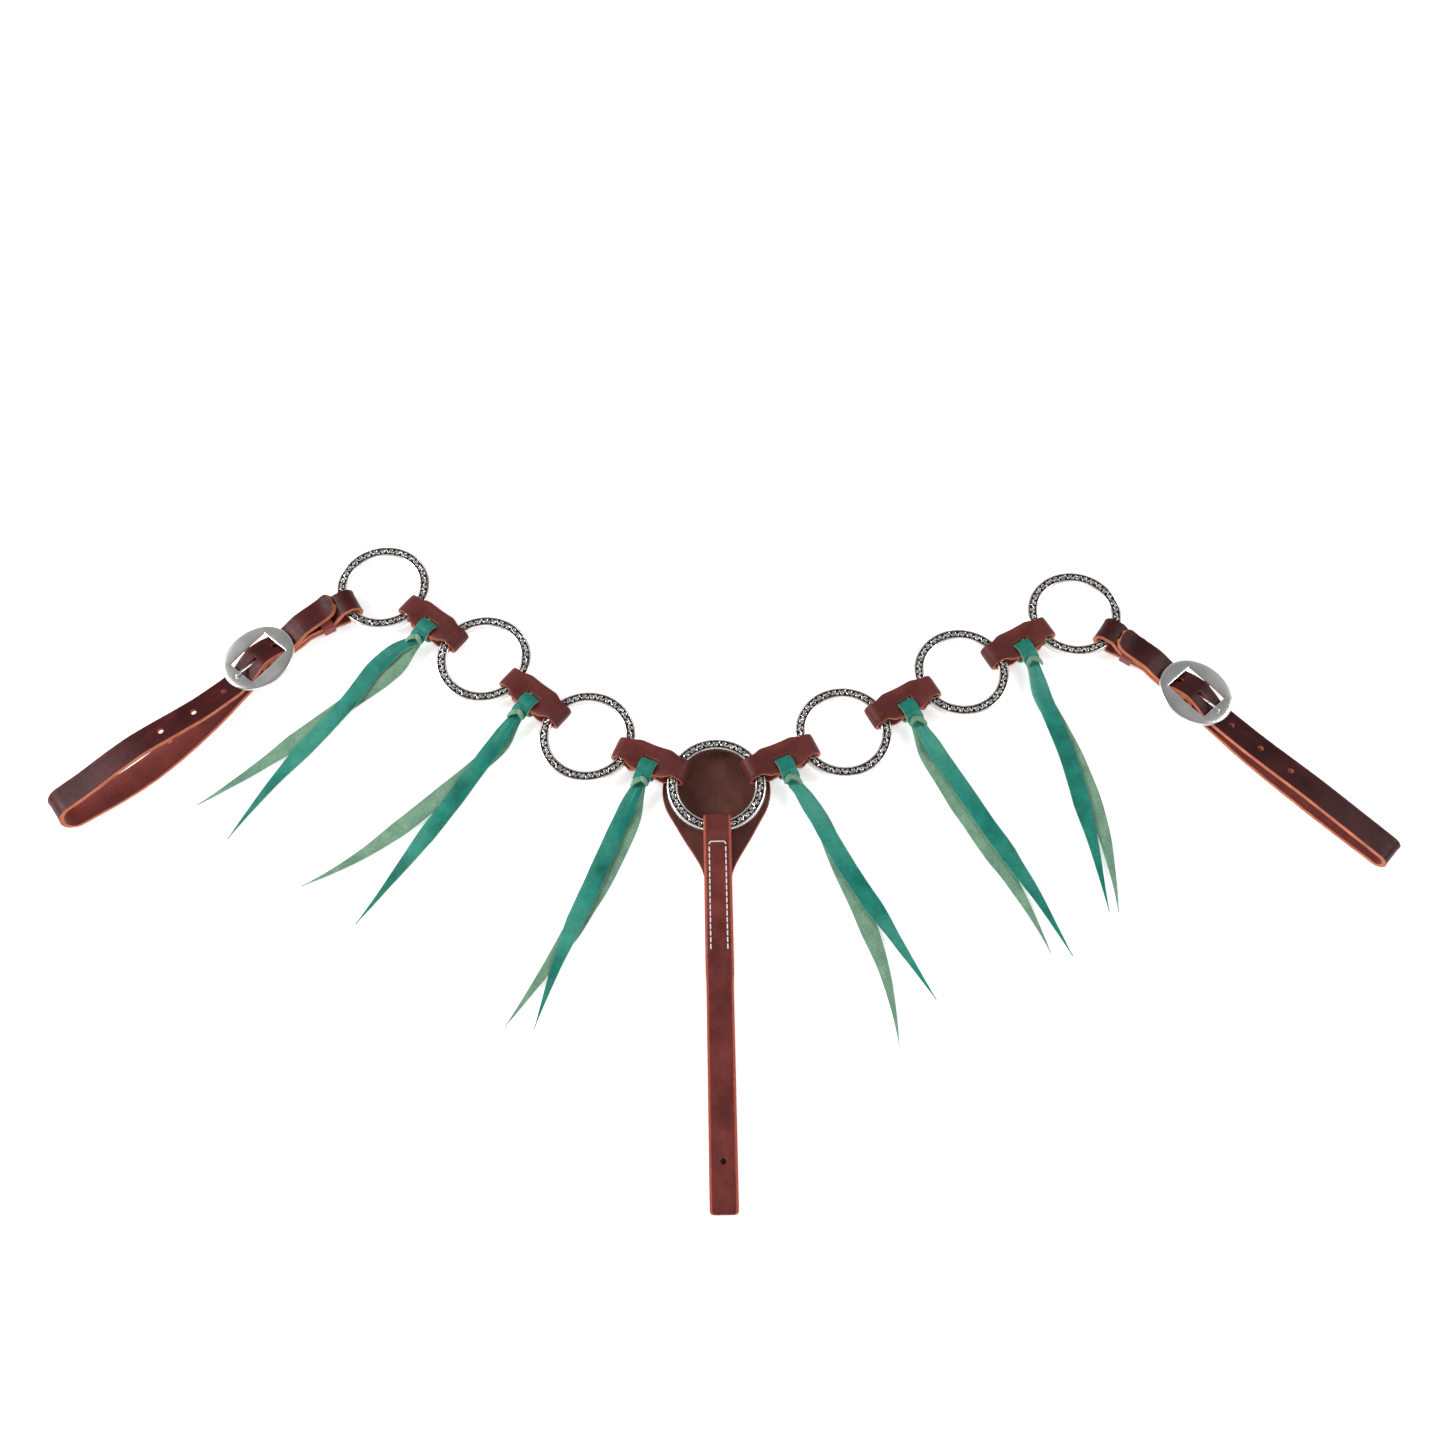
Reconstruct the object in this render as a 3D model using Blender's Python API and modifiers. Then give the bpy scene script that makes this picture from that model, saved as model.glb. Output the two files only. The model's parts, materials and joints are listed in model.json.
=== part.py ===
"""A western ring-and-link breast collar with a leather fringe, lying flat as it is hung up or laid out.

Seven engraved rings are joined by six folded leather links. Each link is laced shut by a fringe thong whose
two tails lie below it. A tug strap with a cart buckle loops round each end ring, and the strap that runs down
to the cinch is folded round the centre ring with a round leather backing behind it.
Units are metres and degrees, +Z is up, and the object rests on z = 0.
"""

import math
from collections import namedtuple

import bmesh
import bpy
from mathutils import Matrix, Vector

GAP = 0.0003                     # room kept between pieces that touch

# Rings: 70 mm outside, a flat band with worn corners
RING_OUTER_RADIUS = 0.0350
RING_BAND = 0.0076
RING_DEPTH = 0.0060
RING_CORNER = 0.0016
RING_STEPS = 36
WIRE_RADIUS = RING_OUTER_RADIUS - RING_BAND / 2

# Links: a strip of leather folded round two rings, its ends lapped at the back
WIRE_TO_WIRE = 0.0383
LINK_LEATHER = 0.0024
LINK_CAVITY = 0.0048             # half the height that the leather leaves round a ring
LINK_FOLD_REACH = 0.0021         # how far the fold's centre lies past the wire's centre
LINK_MIDDLE_HALF = 0.0110
LINK_NECK_HALF = 0.0074
LINK_FOLD_HALF = 0.0080
STACK_RISE = 0.0003              # how far the laced middle lies above the wires' plane

# Fringe: a thong round the lower band of a link, knotted, with two pointed tails
BAND_HALF = 0.0039               # half the width of the band of link below its slot
LOOP_INNER = 0.0058
THONG = 0.0016
LOOP_WIDTH = 0.0120
SLOT_LENGTH = 0.0135
KNOT_LENGTH = 0.0095
KNOT_HEIGHT = 0.0060
TAIL_HALF = 0.0062
TAIL_NODES = (0.0, 0.22, 0.55, 1.0)     # shares of a tail's length at which its four headings hold
TAIL_TAPER = 0.42                # share of a tail's length that runs to its point
TAIL_DROP = 0.66                 # where the upper tail starts to come down to the floor

# Straps: three-quarter inch leather
STRAP_HALF = 0.00925
STRAP_LEATHER = 0.0030
WRAP_RADIUS = 0.0063             # middle of the leather round a ring's wire
WRAP_SETBACK = 0.0017            # how far the wrap's centre lies inside the wire, for the ring's curve
WRAP_CLEAR = 0.0040              # how far past the wire the leather stays clear of it
BUCKLE_FROM_WIRE = 0.0738
HOLE_PITCH = 0.0254
HOLE_RADIUS = 0.0021
TONGUE_HOLE_FROM_BAR = 0.0086
TUG_POINT = 0.0062               # length over which a tug strap's corners are cut away at its end
TUG_TIP = 0.45                   # share of the width left at the end
CENTRE_POINT = 0.0025
CENTRE_TIP = 0.72
TUG_STRAIGHT = 0.0320            # how far from the wire a tug strap runs straight, in plan

# Keeper: a loose leather band round the two sewn layers of the tug
KEEPER_WIDTH = 0.0090
KEEPER_LEATHER = 0.0018
KEEPER_FROM_WIRE = 0.0185
STACK_LIFT = 0.0024

# Cart buckle: an oval plate with a window, and a hidden bar below it
PLATE_HALF_LENGTH = 0.0278
PLATE_HALF_WIDTH = 0.0240
WINDOW_HALF_LENGTH = 0.0167
WINDOW_HALF_WIDTH = 0.0117
PLATE_THICKNESS = 0.0024
PLATE_UNDERSIDE = 0.0112
BAR_RADIUS = 0.0015
BAR_HEIGHT = 0.0081
TONGUE_RADIUS = 0.0011

# Centre: strap to the cinch and the round backing behind the ring
BACKING_RADIUS = 0.0385
BACKING_LEATHER = 0.0024
SEWN_LENGTH = 0.0860
STRAP_LENGTH = 0.2552            # from the ring's wire to the strap's end
END_HOLE_FROM_TIP = 0.0322
STRAP_HEADING = -88.9

# Heights of the rings' middles above the floor, from the centre out
CENTRE_WIRE_HEIGHT = 0.0107
WIRE_HEIGHTS = (0.0083, 0.0080, 0.0079)

# Headings in plan, from each ring to the next
LEFT_HEADINGS = (157.4, 141.5, 142.8)
RIGHT_HEADINGS = (24.7, 28.8, 29.1)

# How a tug strap lies: its heading in plan, how many degrees round the ring it has slipped from that heading,
# the height of its far loop and how far out that loop's end is, its sideways bend, and how far its lower
# layer lies beside its upper one. The bend and the spread are pairs of distance from the wire and sideways
# distance.
TugLie = namedtuple("TugLie", "heading slip loop_height reach bend spread finish")
LEFT_TUG = TugLie(
    heading=-140.3, slip=-9.0, loop_height=0.0235, reach=0.2485,
    bend=((0.045, -0.0106), (0.060, -0.0096), (0.090, -0.0037), (0.130, 0.0046), (0.185, 0.0101),
          (0.252, 0.0072)),
    spread=((0.088, 0.0), (0.125, 0.0046), (0.160, 0.0097), (0.200, 0.0107), (0.252, 0.0050)),
    finish="left_strap_leather",
)
RIGHT_TUG = TugLie(
    heading=-42.8, slip=8.0, loop_height=0.0155, reach=0.2463,
    bend=((0.045, 0.0088), (0.060, 0.0074), (0.090, 0.0041), (0.130, -0.0004), (0.185, -0.0032),
          (0.250, -0.0042)),
    spread=((0.088, 0.0), (0.250, 0.0)),
    finish="right_strap_leather",
)

# Fringe tails: four headings from the knot to the tip and the length, for the grain tail and the flesh tail
LEFT_TAILS = (
    ((-120.0, -111.5, -112.0, -105.0, 0.184), (-101.0, -112.0, -120.5, -124.0, 0.192)),
    ((-130.0, -121.0, -123.0, -125.0, 0.184), (-116.0, -137.0, -137.0, -154.0, 0.192)),
    ((-166.0, -119.0, -128.5, -120.0, 0.197), (-122.0, -141.0, -138.0, -145.0, 0.193)),
)
RIGHT_TAILS = (
    ((-48.0, -64.0, -58.0, -59.0, 0.180), (-43.0, -70.0, -68.0, -87.0, 0.199)),
    ((-54.0, -61.0, -59.0, -65.5, 0.1955), (-73.0, -63.0, -58.5, -70.5, 0.187)),
    ((-77.0, -73.0, -81.0, -84.0, 0.1915), (-80.5, -65.5, -76.5, -91.0, 0.194)),
)

COLOURS = {
    "engraved_silver": ((0.62, 0.60, 0.57), 0.25, 1.0),
    "link_leather": ((0.12, 0.03, 0.025), 0.45, 0.0),
    "left_strap_leather": ((0.07, 0.014, 0.014), 0.4, 0.0),
    "right_strap_leather": ((0.035, 0.009, 0.009), 0.4, 0.0),
    "centre_strap_leather": ((0.13, 0.025, 0.022), 0.4, 0.0),
    "backing_leather": ((0.05, 0.025, 0.02), 0.5, 0.0),
    "fringe_leather": ((0.015, 0.22, 0.16), 0.6, 0.0),
    "polished_steel": ((0.68, 0.67, 0.66), 0.2, 1.0),
}


def clear_scene():
    for obj in list(bpy.data.objects):
        bpy.data.objects.remove(obj, do_unlink=True)


def new_collection(name):
    collection = bpy.data.collections.new(name)
    bpy.context.scene.collection.children.link(collection)
    return collection


def material(name):
    """The named material, made on its first use."""
    if name in bpy.data.materials:
        return bpy.data.materials[name]
    colour, roughness, metallic = COLOURS[name]
    made = bpy.data.materials.new(name)
    made.use_nodes = True
    shader = made.node_tree.nodes["Principled BSDF"]
    shader.inputs["Base Color"].default_value = (*colour, 1.0)
    shader.inputs["Roughness"].default_value = roughness
    shader.inputs["Metallic"].default_value = metallic
    return made


def add_object(name, mesh, frame, finish):
    """A part in the object's own collection, with its origin on its joint or its natural centre."""
    obj = bpy.data.objects.new(name, mesh)
    bpy.data.collections["breastplate"].objects.link(obj)
    obj.matrix_world = frame
    mesh.materials.append(material(finish))
    return obj


def add_cutter(name, mesh, frame):
    """A shape that is cut from or joined to a part, and isn't a part itself."""
    obj = bpy.data.objects.new(name, mesh)
    bpy.data.collections["cutters"].objects.link(obj)
    obj.matrix_world = frame
    obj.hide_render = True
    obj.display_type = "WIRE"
    return obj


def boolean(obj, other, operation):
    modifier = obj.modifiers.new(operation.lower() + "_" + other.name, "BOOLEAN")
    modifier.operation = operation
    modifier.solver = "EXACT"
    modifier.object = other


def smooth(mesh, angle=35.0):
    mesh.shade_smooth()
    mesh.set_sharp_from_angle(angle=math.radians(angle))


def box_mesh(name, low, high):
    """A box between two corners."""
    size = Vector(high) - Vector(low)
    middle = (Vector(high) + Vector(low)) / 2
    cage = bmesh.new()
    bmesh.ops.create_cube(cage, size=1.0, matrix=Matrix.Translation(middle) @ Matrix.Diagonal((*size, 1.0)))
    mesh = bpy.data.meshes.new(name)
    cage.to_mesh(mesh)
    cage.free()
    return mesh


def cylinder_mesh(name, radius, start, end, segments=16):
    """A capped cylinder between two points."""
    axis = Vector(end) - Vector(start)
    turn = axis.to_track_quat("Z", "Y").to_matrix().to_4x4()
    place = Matrix.Translation((Vector(start) + Vector(end)) / 2) @ turn
    cage = bmesh.new()
    bmesh.ops.create_cone(cage, cap_ends=True, segments=segments, radius1=radius, radius2=radius,
                          depth=axis.length, matrix=place)
    mesh = bpy.data.meshes.new(name)
    cage.to_mesh(mesh)
    cage.free()
    return mesh


def outline_mesh(name, loops, half_thickness, frame, bevel=0.0):
    """A flat plate with the given closed outlines, the later ones being holes in the first."""
    curve = bpy.data.curves.new(name, "CURVE")
    curve.dimensions = "2D"
    curve.fill_mode = "BOTH"
    curve.extrude = half_thickness - bevel
    curve.bevel_depth = bevel
    curve.bevel_resolution = 0
    for loop in loops:
        spline = curve.splines.new("POLY")
        spline.points.add(len(loop) - 1)
        for point, (x, y) in zip(spline.points, loop):
            point.co = (x, y, 0.0, 1.0)
        spline.use_cyclic_u = True
    return mesh_of_curve(curve, frame)


def tube_mesh(name, points, radius):
    """A round rod with closed ends along the points."""
    curve = bpy.data.curves.new(name, "CURVE")
    curve.dimensions = "3D"
    curve.bevel_depth = radius
    curve.bevel_resolution = 2
    curve.use_fill_caps = True
    spline = curve.splines.new("POLY")
    spline.points.add(len(points) - 1)
    for point, place in zip(spline.points, points):
        point.co = (*place, 1.0)
    return mesh_of_curve(curve, Matrix.Identity(4))


def mesh_of_curve(curve, frame):
    """The curve's solid as a mesh in the parent's frame, its caps welded on."""
    guide = bpy.data.objects.new(curve.name, curve)
    bpy.context.scene.collection.objects.link(guide)
    bpy.context.view_layer.update()
    evaluated = guide.evaluated_get(bpy.context.evaluated_depsgraph_get())
    mesh = bpy.data.meshes.new_from_object(evaluated)
    bpy.data.objects.remove(guide, do_unlink=True)
    cage = bmesh.new()
    cage.from_mesh(mesh)
    bmesh.ops.remove_doubles(cage, verts=cage.verts, dist=0.00002)
    bmesh.ops.recalc_face_normals(cage, faces=cage.faces)
    cage.to_mesh(mesh)
    cage.free()
    mesh.transform(frame)
    return mesh


def arc(centre, radius, start, end, steps):
    """Points on an arc in the (along, up) plane, from one angle to the other."""
    turn = (end - start) / steps
    angles = [math.radians(start + turn * step) for step in range(steps + 1)]
    return [(centre[0] + radius * math.cos(a), centre[1] + radius * math.sin(a)) for a in angles]


def smooth_path(points, steps=4):
    """A Catmull-Rom curve through the points."""
    if len(points) < 3:
        return list(points)
    padded = [points[0], *points, points[-1]]
    result = []
    for a, b, c, d in zip(padded, padded[1:], padded[2:], padded[3:]):
        for step in range(steps):
            t = step / steps
            result.append(tuple(
                0.5 * (2 * q + (r - p) * t + (2 * p - 5 * q + 4 * r - s) * t * t
                       + (3 * q - p - 3 * r + s) * t ** 3)
                for p, q, r, s in zip(a, b, c, d)))
    result.append(points[-1])
    return result


def strip_mesh(name, edges):
    """An open strip of leather between pairs of edge points."""
    cage = bmesh.new()
    rows = [[cage.verts.new(point) for point in pair] for pair in edges]
    for (a, b), (c, d) in zip(rows, rows[1:]):
        cage.faces.new((a, b, d, c))
    mesh = bpy.data.meshes.new(name)
    cage.to_mesh(mesh)
    cage.free()
    return mesh


def thicken(obj, thickness):
    modifier = obj.modifiers.new("leather", "SOLIDIFY")
    modifier.thickness = thickness
    modifier.offset = 0.0
    modifier.use_even_offset = True


def unbent(x, y, z):
    return Vector((x, y, z))


def folded_strip(name, path, half_width, thickness, frame, finish, bent=unbent):
    """A strap along a path in the frame's X-Z plane. half_width gives its half width at each path point."""
    edges = []
    for number, (x, z) in enumerate(path):
        half = half_width(number, x)
        edges.append((bent(x, -half, z), bent(x, half, z)))
    mesh = strip_mesh(name, edges)
    obj = add_object(name, mesh, frame, finish)
    thicken(obj, thickness)
    return obj


def smooth_curve(points, first_slope):
    """A function of x for the height and slope of a curve through the points, straight before the first."""
    slopes = [first_slope]
    for before, after in zip(points, points[2:]):
        slopes.append((after[1] - before[1]) / (after[0] - before[0]))
    slopes.append((points[-1][1] - points[-2][1]) / (points[-1][0] - points[-2][0]))
    pieces = list(zip(points, points[1:], slopes, slopes[1:]))

    def height_and_slope(x):
        (start, height), *_ = points
        if x <= start:
            return height + first_slope * (x - start), first_slope
        for (low, height), (high, next_height), slope, next_slope in pieces:
            if x <= high:
                break
        span = high - low
        t = min(1.0, (x - low) / span)
        rise = slope * t * (1 - t) ** 2 - next_slope * t ** 2 * (1 - t)
        value = height * (1 + 2 * t) * (1 - t) ** 2 + next_height * t ** 2 * (3 - 2 * t) + span * rise
        steep = (next_height - height) * 6 * t * (1 - t) / span
        return value, steep + slope * (1 - t) * (1 - 3 * t) + next_slope * t * (3 * t - 2)
    return height_and_slope


def level_frame(place, heading, pitch=0.0):
    """A frame at a place, its X along the heading in plan and tipped down by pitch."""
    turn = Matrix.Rotation(math.radians(heading), 4, "Z") @ Matrix.Rotation(pitch, 4, "Y")
    return Matrix.Translation(place) @ turn


# ---------------------------------------------------------------- rings

def make_ring(name, centre):
    """A turned band: a flat rectangle section with its four corners taken off."""
    inner, outer = RING_OUTER_RADIUS - RING_BAND, RING_OUTER_RADIUS
    top, bottom = RING_DEPTH / 2, -RING_DEPTH / 2
    corner = RING_CORNER
    section = [
        (outer - corner, top), (outer, top - corner), (outer, bottom + corner), (outer - corner, bottom),
        (inner + corner, bottom), (inner, bottom + corner), (inner, top - corner), (inner + corner, top),
    ]
    cage = bmesh.new()
    points = [cage.verts.new((radius, 0.0, height)) for radius, height in section]
    for point, following in zip(points, points[1:] + points[:1]):
        cage.edges.new((point, following))
    mesh = bpy.data.meshes.new(name)
    cage.to_mesh(mesh)
    cage.free()
    obj = add_object(name, mesh, Matrix.Translation(centre), "engraved_silver")
    turned = obj.modifiers.new("turned", "SCREW")
    turned.steps = RING_STEPS
    turned.render_steps = RING_STEPS
    turned.use_merge_vertices = True
    turned.merge_threshold = 0.00001
    turned.use_smooth_shade = True
    return obj


# ---------------------------------------------------------------- links

def link_path():
    """The strip's middle seen from its side, from the end under the lap round both rings to the other end."""
    half_leather = LINK_LEATHER / 2
    level = LINK_CAVITY + half_leather
    fold = WIRE_TO_WIRE / 2 + LINK_FOLD_REACH
    layer = LINK_LEATHER + GAP
    low, middle, high = (STACK_RISE + layer * place for place in (-1, 0, 1))
    lap = 0.0080
    clear = 0.0143
    under = [(0.6 * lap, low), (-lap, low), (-clear, -level)]
    over = [(-clear, level), (-lap, high), (lap, high), (clear, level)]
    back = [(clear, -level), (lap, middle), (-lap, middle)]
    left_fold = arc((-fold, 0.0), level, 270.0, 90.0, 8)
    right_fold = arc((fold, 0.0), level, 90.0, -90.0, 8)
    return under + left_fold + over + right_fold + back


def link_half_width(along):
    """Half the strip's width: broad in the middle, pinched at the rings, a little broader at the folds."""
    reach = abs(along)
    if reach <= 0.0145:
        return LINK_MIDDLE_HALF
    if reach <= 0.0215:
        return LINK_NECK_HALF
    return LINK_FOLD_HALF


def make_link(name, frame, below):
    """A folded link. below is the side, -1 or 1 along the frame's Y, that the fringe hangs from."""
    path = link_path()
    obj = folded_strip(name, path, lambda _, x: link_half_width(x), LINK_LEATHER, frame, "link_leather")
    band_centre = below * (LINK_MIDDLE_HALF - BAND_HALF)
    near = band_centre - below * BAND_HALF
    far = band_centre - below * (LOOP_INNER + THONG + GAP)
    deep = LINK_CAVITY
    slot = box_mesh(name + "_slot", (-SLOT_LENGTH / 2, min(near, far), -deep),
                    (SLOT_LENGTH / 2, max(near, far), deep))
    boolean(obj, add_cutter(name + "_slot", slot, frame), "DIFFERENCE")
    return obj


# ---------------------------------------------------------------- fringe

def loop_mesh(name):
    """The thong's turn round the link's lower band: a flat ring about X."""
    outer = cylinder_profile(LOOP_INNER + THONG)
    inner = cylinder_profile(LOOP_INNER)
    turn = Matrix.Rotation(math.radians(90.0), 4, "Y")
    return outline_mesh(name, (outer, inner), LOOP_WIDTH / 2, turn)


def cylinder_profile(radius, steps=20):
    turn = 2 * math.pi / steps
    return [(radius * math.cos(turn * step), radius * math.sin(turn * step)) for step in range(steps)]


def heading_at(headings, share):
    """The tail's heading at a share of its length."""
    for low, high, start, end in zip(TAIL_NODES, TAIL_NODES[1:], headings, headings[1:]):
        if share <= high:
            break
    return math.radians(start + (end - start) * (share - low) / (high - low))


def tail_edges(start, headings, length, heights):
    """Edge points of a tail: gathered at the knot, of even width for over half its length, then pointed."""
    edges = []
    steps = 14
    point = start.copy()
    for step in range(steps + 1):
        t = step / steps
        if step:
            angle = heading_at(headings, t - 0.5 / steps)
            point += Vector((math.cos(angle), math.sin(angle), 0.0)) * (length / steps)
        angle = heading_at(headings, t)
        across = Vector((-math.sin(angle), math.cos(angle), 0.0))
        gather = min(1.0, 0.75 + 2.0 * t)
        taper = min(1.0, max(0.06, (1 - t) / TAIL_TAPER))
        half = TAIL_HALF * gather * taper
        centre = Vector((point.x, point.y, heights(t)))
        edges.append((centre - across * half, centre + across * half))
    return edges


def settle(top, rest, t_down, late=None):
    """A height that falls from top to rest by t_down, and to late[0] by the tip."""
    def height(t):
        fall = min(1.0, t / t_down)
        value = top + (rest - top) * (3 * fall ** 2 - 2 * fall ** 3)
        if late and t > late[1]:
            share = (t - late[1]) / (1 - late[1])
            value += (late[0] - rest) * (3 * share ** 2 - 2 * share ** 3)
        return value
    return height


def make_tassel(name, link_frame, below, tails):
    """Loop, knot and two tails in one piece, turning about the link's lower band."""
    band_centre = below * (LINK_MIDDLE_HALF - BAND_HALF)
    frame = link_frame @ Matrix.Translation((0.0, band_centre, STACK_RISE))
    obj = add_object(name, loop_mesh(name), frame, "fringe_leather")
    knot_near = LOOP_INNER + THONG / 2
    knot_far = knot_near + KNOT_LENGTH
    low_y, high_y = sorted((below * knot_near, below * knot_far))
    knot = box_mesh(name + "_knot", (-LOOP_WIDTH / 2, low_y, -KNOT_HEIGHT / 2),
                    (LOOP_WIDTH / 2, high_y, KNOT_HEIGHT / 2))
    knot_part = add_cutter(name + "_knot", knot, frame)
    rounded = knot_part.modifiers.new("rounded", "BEVEL")
    rounded.width = 0.0016
    rounded.segments = 2
    boolean(obj, knot_part, "UNION")
    start = frame @ Vector((0.0, below * (knot_near + 0.6 * KNOT_LENGTH), 0.0))
    floor = GAP + THONG / 2
    knot_level = start.z
    heights = (
        settle(knot_level + 0.0012, floor + THONG + GAP, 0.16, (floor, TAIL_DROP)),
        settle(knot_level - 0.0012, floor, 0.14),
    )
    for label, (*headings, length), height in zip(("grain_tail", "flesh_tail"), tails, heights):
        edges = tail_edges(start, headings, length, height)
        tail = add_cutter(name + "_" + label, strip_mesh(name + "_" + label, edges), Matrix.Identity(4))
        thicken(tail, THONG)
        boolean(obj, tail, "UNION")
    return obj


# ---------------------------------------------------------------- tug straps

def tug_frame(ring_centre, lie):
    """The straight strap's frame: X along its heading, zero below the wire where the strap goes round it."""
    heading = math.radians(lie.heading)
    reach = WIRE_RADIUS * math.cos(math.radians(lie.slip))
    foot = ring_centre + Vector((math.cos(heading), math.sin(heading), 0.0)) * reach
    return level_frame((foot.x, foot.y, 0.0), lie.heading)


def tug_bend(lie):
    """Two functions: one puts a straight strap's point in its place, one gives a frame on the bent strap."""
    slope = math.tan(math.radians(lie.slip))
    at_wire = WIRE_RADIUS * math.sin(math.radians(lie.slip))
    offset_at = smooth_curve(((TUG_STRAIGHT, at_wire + slope * TUG_STRAIGHT), *lie.bend), slope)
    spread_at = smooth_curve(lie.spread, 0.0)

    def bent(x, y, z):
        offset, slope = offset_at(x)
        across = Vector((-slope, 1.0, 0.0)).normalized()
        side = y + spread_at(x)[0] * (0.5 - z / lie.loop_height)
        return Vector((x, offset, z)) + across * side

    def frame_at(x):
        offset, slope = offset_at(x)
        return level_frame((x, offset, 0.0), math.degrees(math.atan(slope)))
    return bent, frame_at


def billet_height(path, along):
    """The height of the strap's upper layer, which is the last part of the path."""
    for (x, z), (far_x, far_z) in zip(path[::-1], path[-2::-1]):
        if x <= along <= far_x:
            return z + (far_z - z) * (along - x) / (far_x - x)
    return None


def tug_path(lie, wire_height):
    """The strap's middle from its end under the bar, round the ring, out, back over and to its point."""
    half = STRAP_LEATHER / 2
    layer = STRAP_LEATHER + GAP
    floor = half
    loop_height = lie.loop_height
    bar = BUCKLE_FROM_WIRE
    sewn = floor + layer
    bar_fold = BAR_RADIUS + GAP + half
    over_bar = BAR_HEIGHT + bar_fold
    far_radius = (loop_height - floor) * 0.42
    far_centre = lie.reach - half - far_radius
    under_plate = PLATE_UNDERSIDE - GAP - half - 0.0004
    lifted = floor + STACK_LIFT
    keeper_in = KEEPER_FROM_WIRE - 0.0050
    keeper_out = KEEPER_FROM_WIRE + 0.0140
    tucked_end = [(bar - 0.0060, BAR_HEIGHT - bar_fold)]
    bar_turn = arc((bar, BAR_HEIGHT), bar_fold, -90.0, 90.0, 8)
    sewn_layer = smooth_path([
        (bar - 0.0020, over_bar - 0.0002), (bar - 0.0085, over_bar - 0.0032), (bar - 0.0150, sewn + 0.0003),
        (bar - 0.0250, sewn), (keeper_out, lifted + layer), (KEEPER_FROM_WIRE, lifted + layer),
        (keeper_in, lifted + layer + 0.0002), (WRAP_CLEAR, wire_height + WRAP_RADIUS),
    ])
    ring_wrap = arc((-WRAP_SETBACK, wire_height), WRAP_RADIUS, 90.0, 270.0, 12)
    lower_layer = smooth_path([
        (WRAP_CLEAR, wire_height - WRAP_RADIUS), (keeper_in, lifted - 0.0002),
        (KEEPER_FROM_WIRE, lifted), (keeper_out, lifted), (bar - 0.0250, floor),
        (bar + 0.0300, floor), (0.6 * far_centre, floor), (0.9 * far_centre, floor),
    ])
    far_fold = arc((far_centre, floor + far_radius), far_radius, -90.0, 90.0, 10)
    over_keeper = lifted + layer + half + GAP + KEEPER_LEATHER + GAP + half
    billet = smooth_path([
        (far_centre - 0.0150, floor + 2 * far_radius + 0.0008), (0.74 * far_centre, loop_height),
        (bar + 0.0480, under_plate + 0.35 * (loop_height - under_plate)),
        (bar + 0.0270, under_plate), (bar + 0.0170, under_plate), (bar + 0.0085, over_bar + 0.0012),
        (bar, over_bar + layer), (bar - 0.0080, over_bar + 0.0013), (bar - 0.0165, under_plate - 0.0002),
        (bar - 0.0270, under_plate - 0.0003), (keeper_out + 0.0020, over_keeper),
        (KEEPER_FROM_WIRE, over_keeper + 0.0004), (0.0105, over_keeper + 0.0021),
        (0.0040, wire_height + WRAP_RADIUS + layer + 0.0003),
    ])
    return tucked_end + bar_turn + sewn_layer + ring_wrap + lower_layer + far_fold + billet


def strap_half_width(path, pointed_end, tip):
    """Half the strap's width at each path point, its corners rounded off to a share tip of its width."""
    lengths = [0.0]
    for a, b in zip(path, path[1:]):
        lengths.append(lengths[-1] + math.dist(a, b))

    def half_width(index, _):
        left = lengths[-1] - lengths[index]
        if left >= pointed_end:
            return STRAP_HALF
        share = left / pointed_end
        return STRAP_HALF * (tip + (1 - tip) * math.sqrt(1 - (1 - share) ** 2))
    return half_width


def with_point_rows(path, pointed_end, rows=5):
    """The path with a few more points near its end, so that the strap's point comes out round."""
    last, before = Vector(path[-1]), Vector(path[-2])
    reach = (last - before).length
    back = (before - last).normalized()
    step = min(pointed_end, reach) / rows
    extra = [tuple(last + back * (step * (rows - row))) for row in range(rows)]
    return path[:-1] + extra[1:] + [path[-1]]


def make_tug_strap(name, frame, lie, wire_height):
    """One strap folded round the ring, out to the saddle and back through the buckle, with its holes."""
    path = with_point_rows(tug_path(lie, wire_height), TUG_POINT)
    bent, frame_at = tug_bend(lie)
    half_width = strap_half_width(path, TUG_POINT, TUG_TIP)
    obj = folded_strip(name, path, half_width, STRAP_LEATHER, frame, lie.finish, bent)
    sewn_top = STRAP_LEATHER + GAP / 2
    fold_top = BAR_HEIGHT + BAR_RADIUS + GAP + STRAP_LEATHER + GAP / 2
    slit_half = TONGUE_RADIUS + 0.0007
    at_bar = frame @ frame_at(BUCKLE_FROM_WIRE)
    slit = box_mesh(name + "_bar_slit", (-0.0062, -slit_half, sewn_top), (0.0062, slit_half, fold_top))
    boolean(obj, add_cutter(name + "_bar_slit", slit, at_bar), "DIFFERENCE")
    tongue_hole = box_mesh(name + "_tongue_hole", (0.0004, -slit_half, fold_top - 0.0040),
                           (0.0132, slit_half, fold_top + 0.0060))
    boolean(obj, add_cutter(name + "_tongue_hole", tongue_hole, at_bar), "DIFFERENCE")
    for number in (-1, 1, 2, 3):
        along = BUCKLE_FROM_WIRE + TONGUE_HOLE_FROM_BAR + HOLE_PITCH * number
        middle = bent(along, 0.0, billet_height(path, along))
        low = 0.0048 if number > 0 else PLATE_UNDERSIDE - 0.0040
        label = f"{name}_hole_{number + 2}"
        hole = cylinder_mesh(label, HOLE_RADIUS, (middle.x, middle.y, low), (middle.x, middle.y, 0.030))
        boolean(obj, add_cutter(label, hole, frame), "DIFFERENCE")
    return obj


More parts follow.
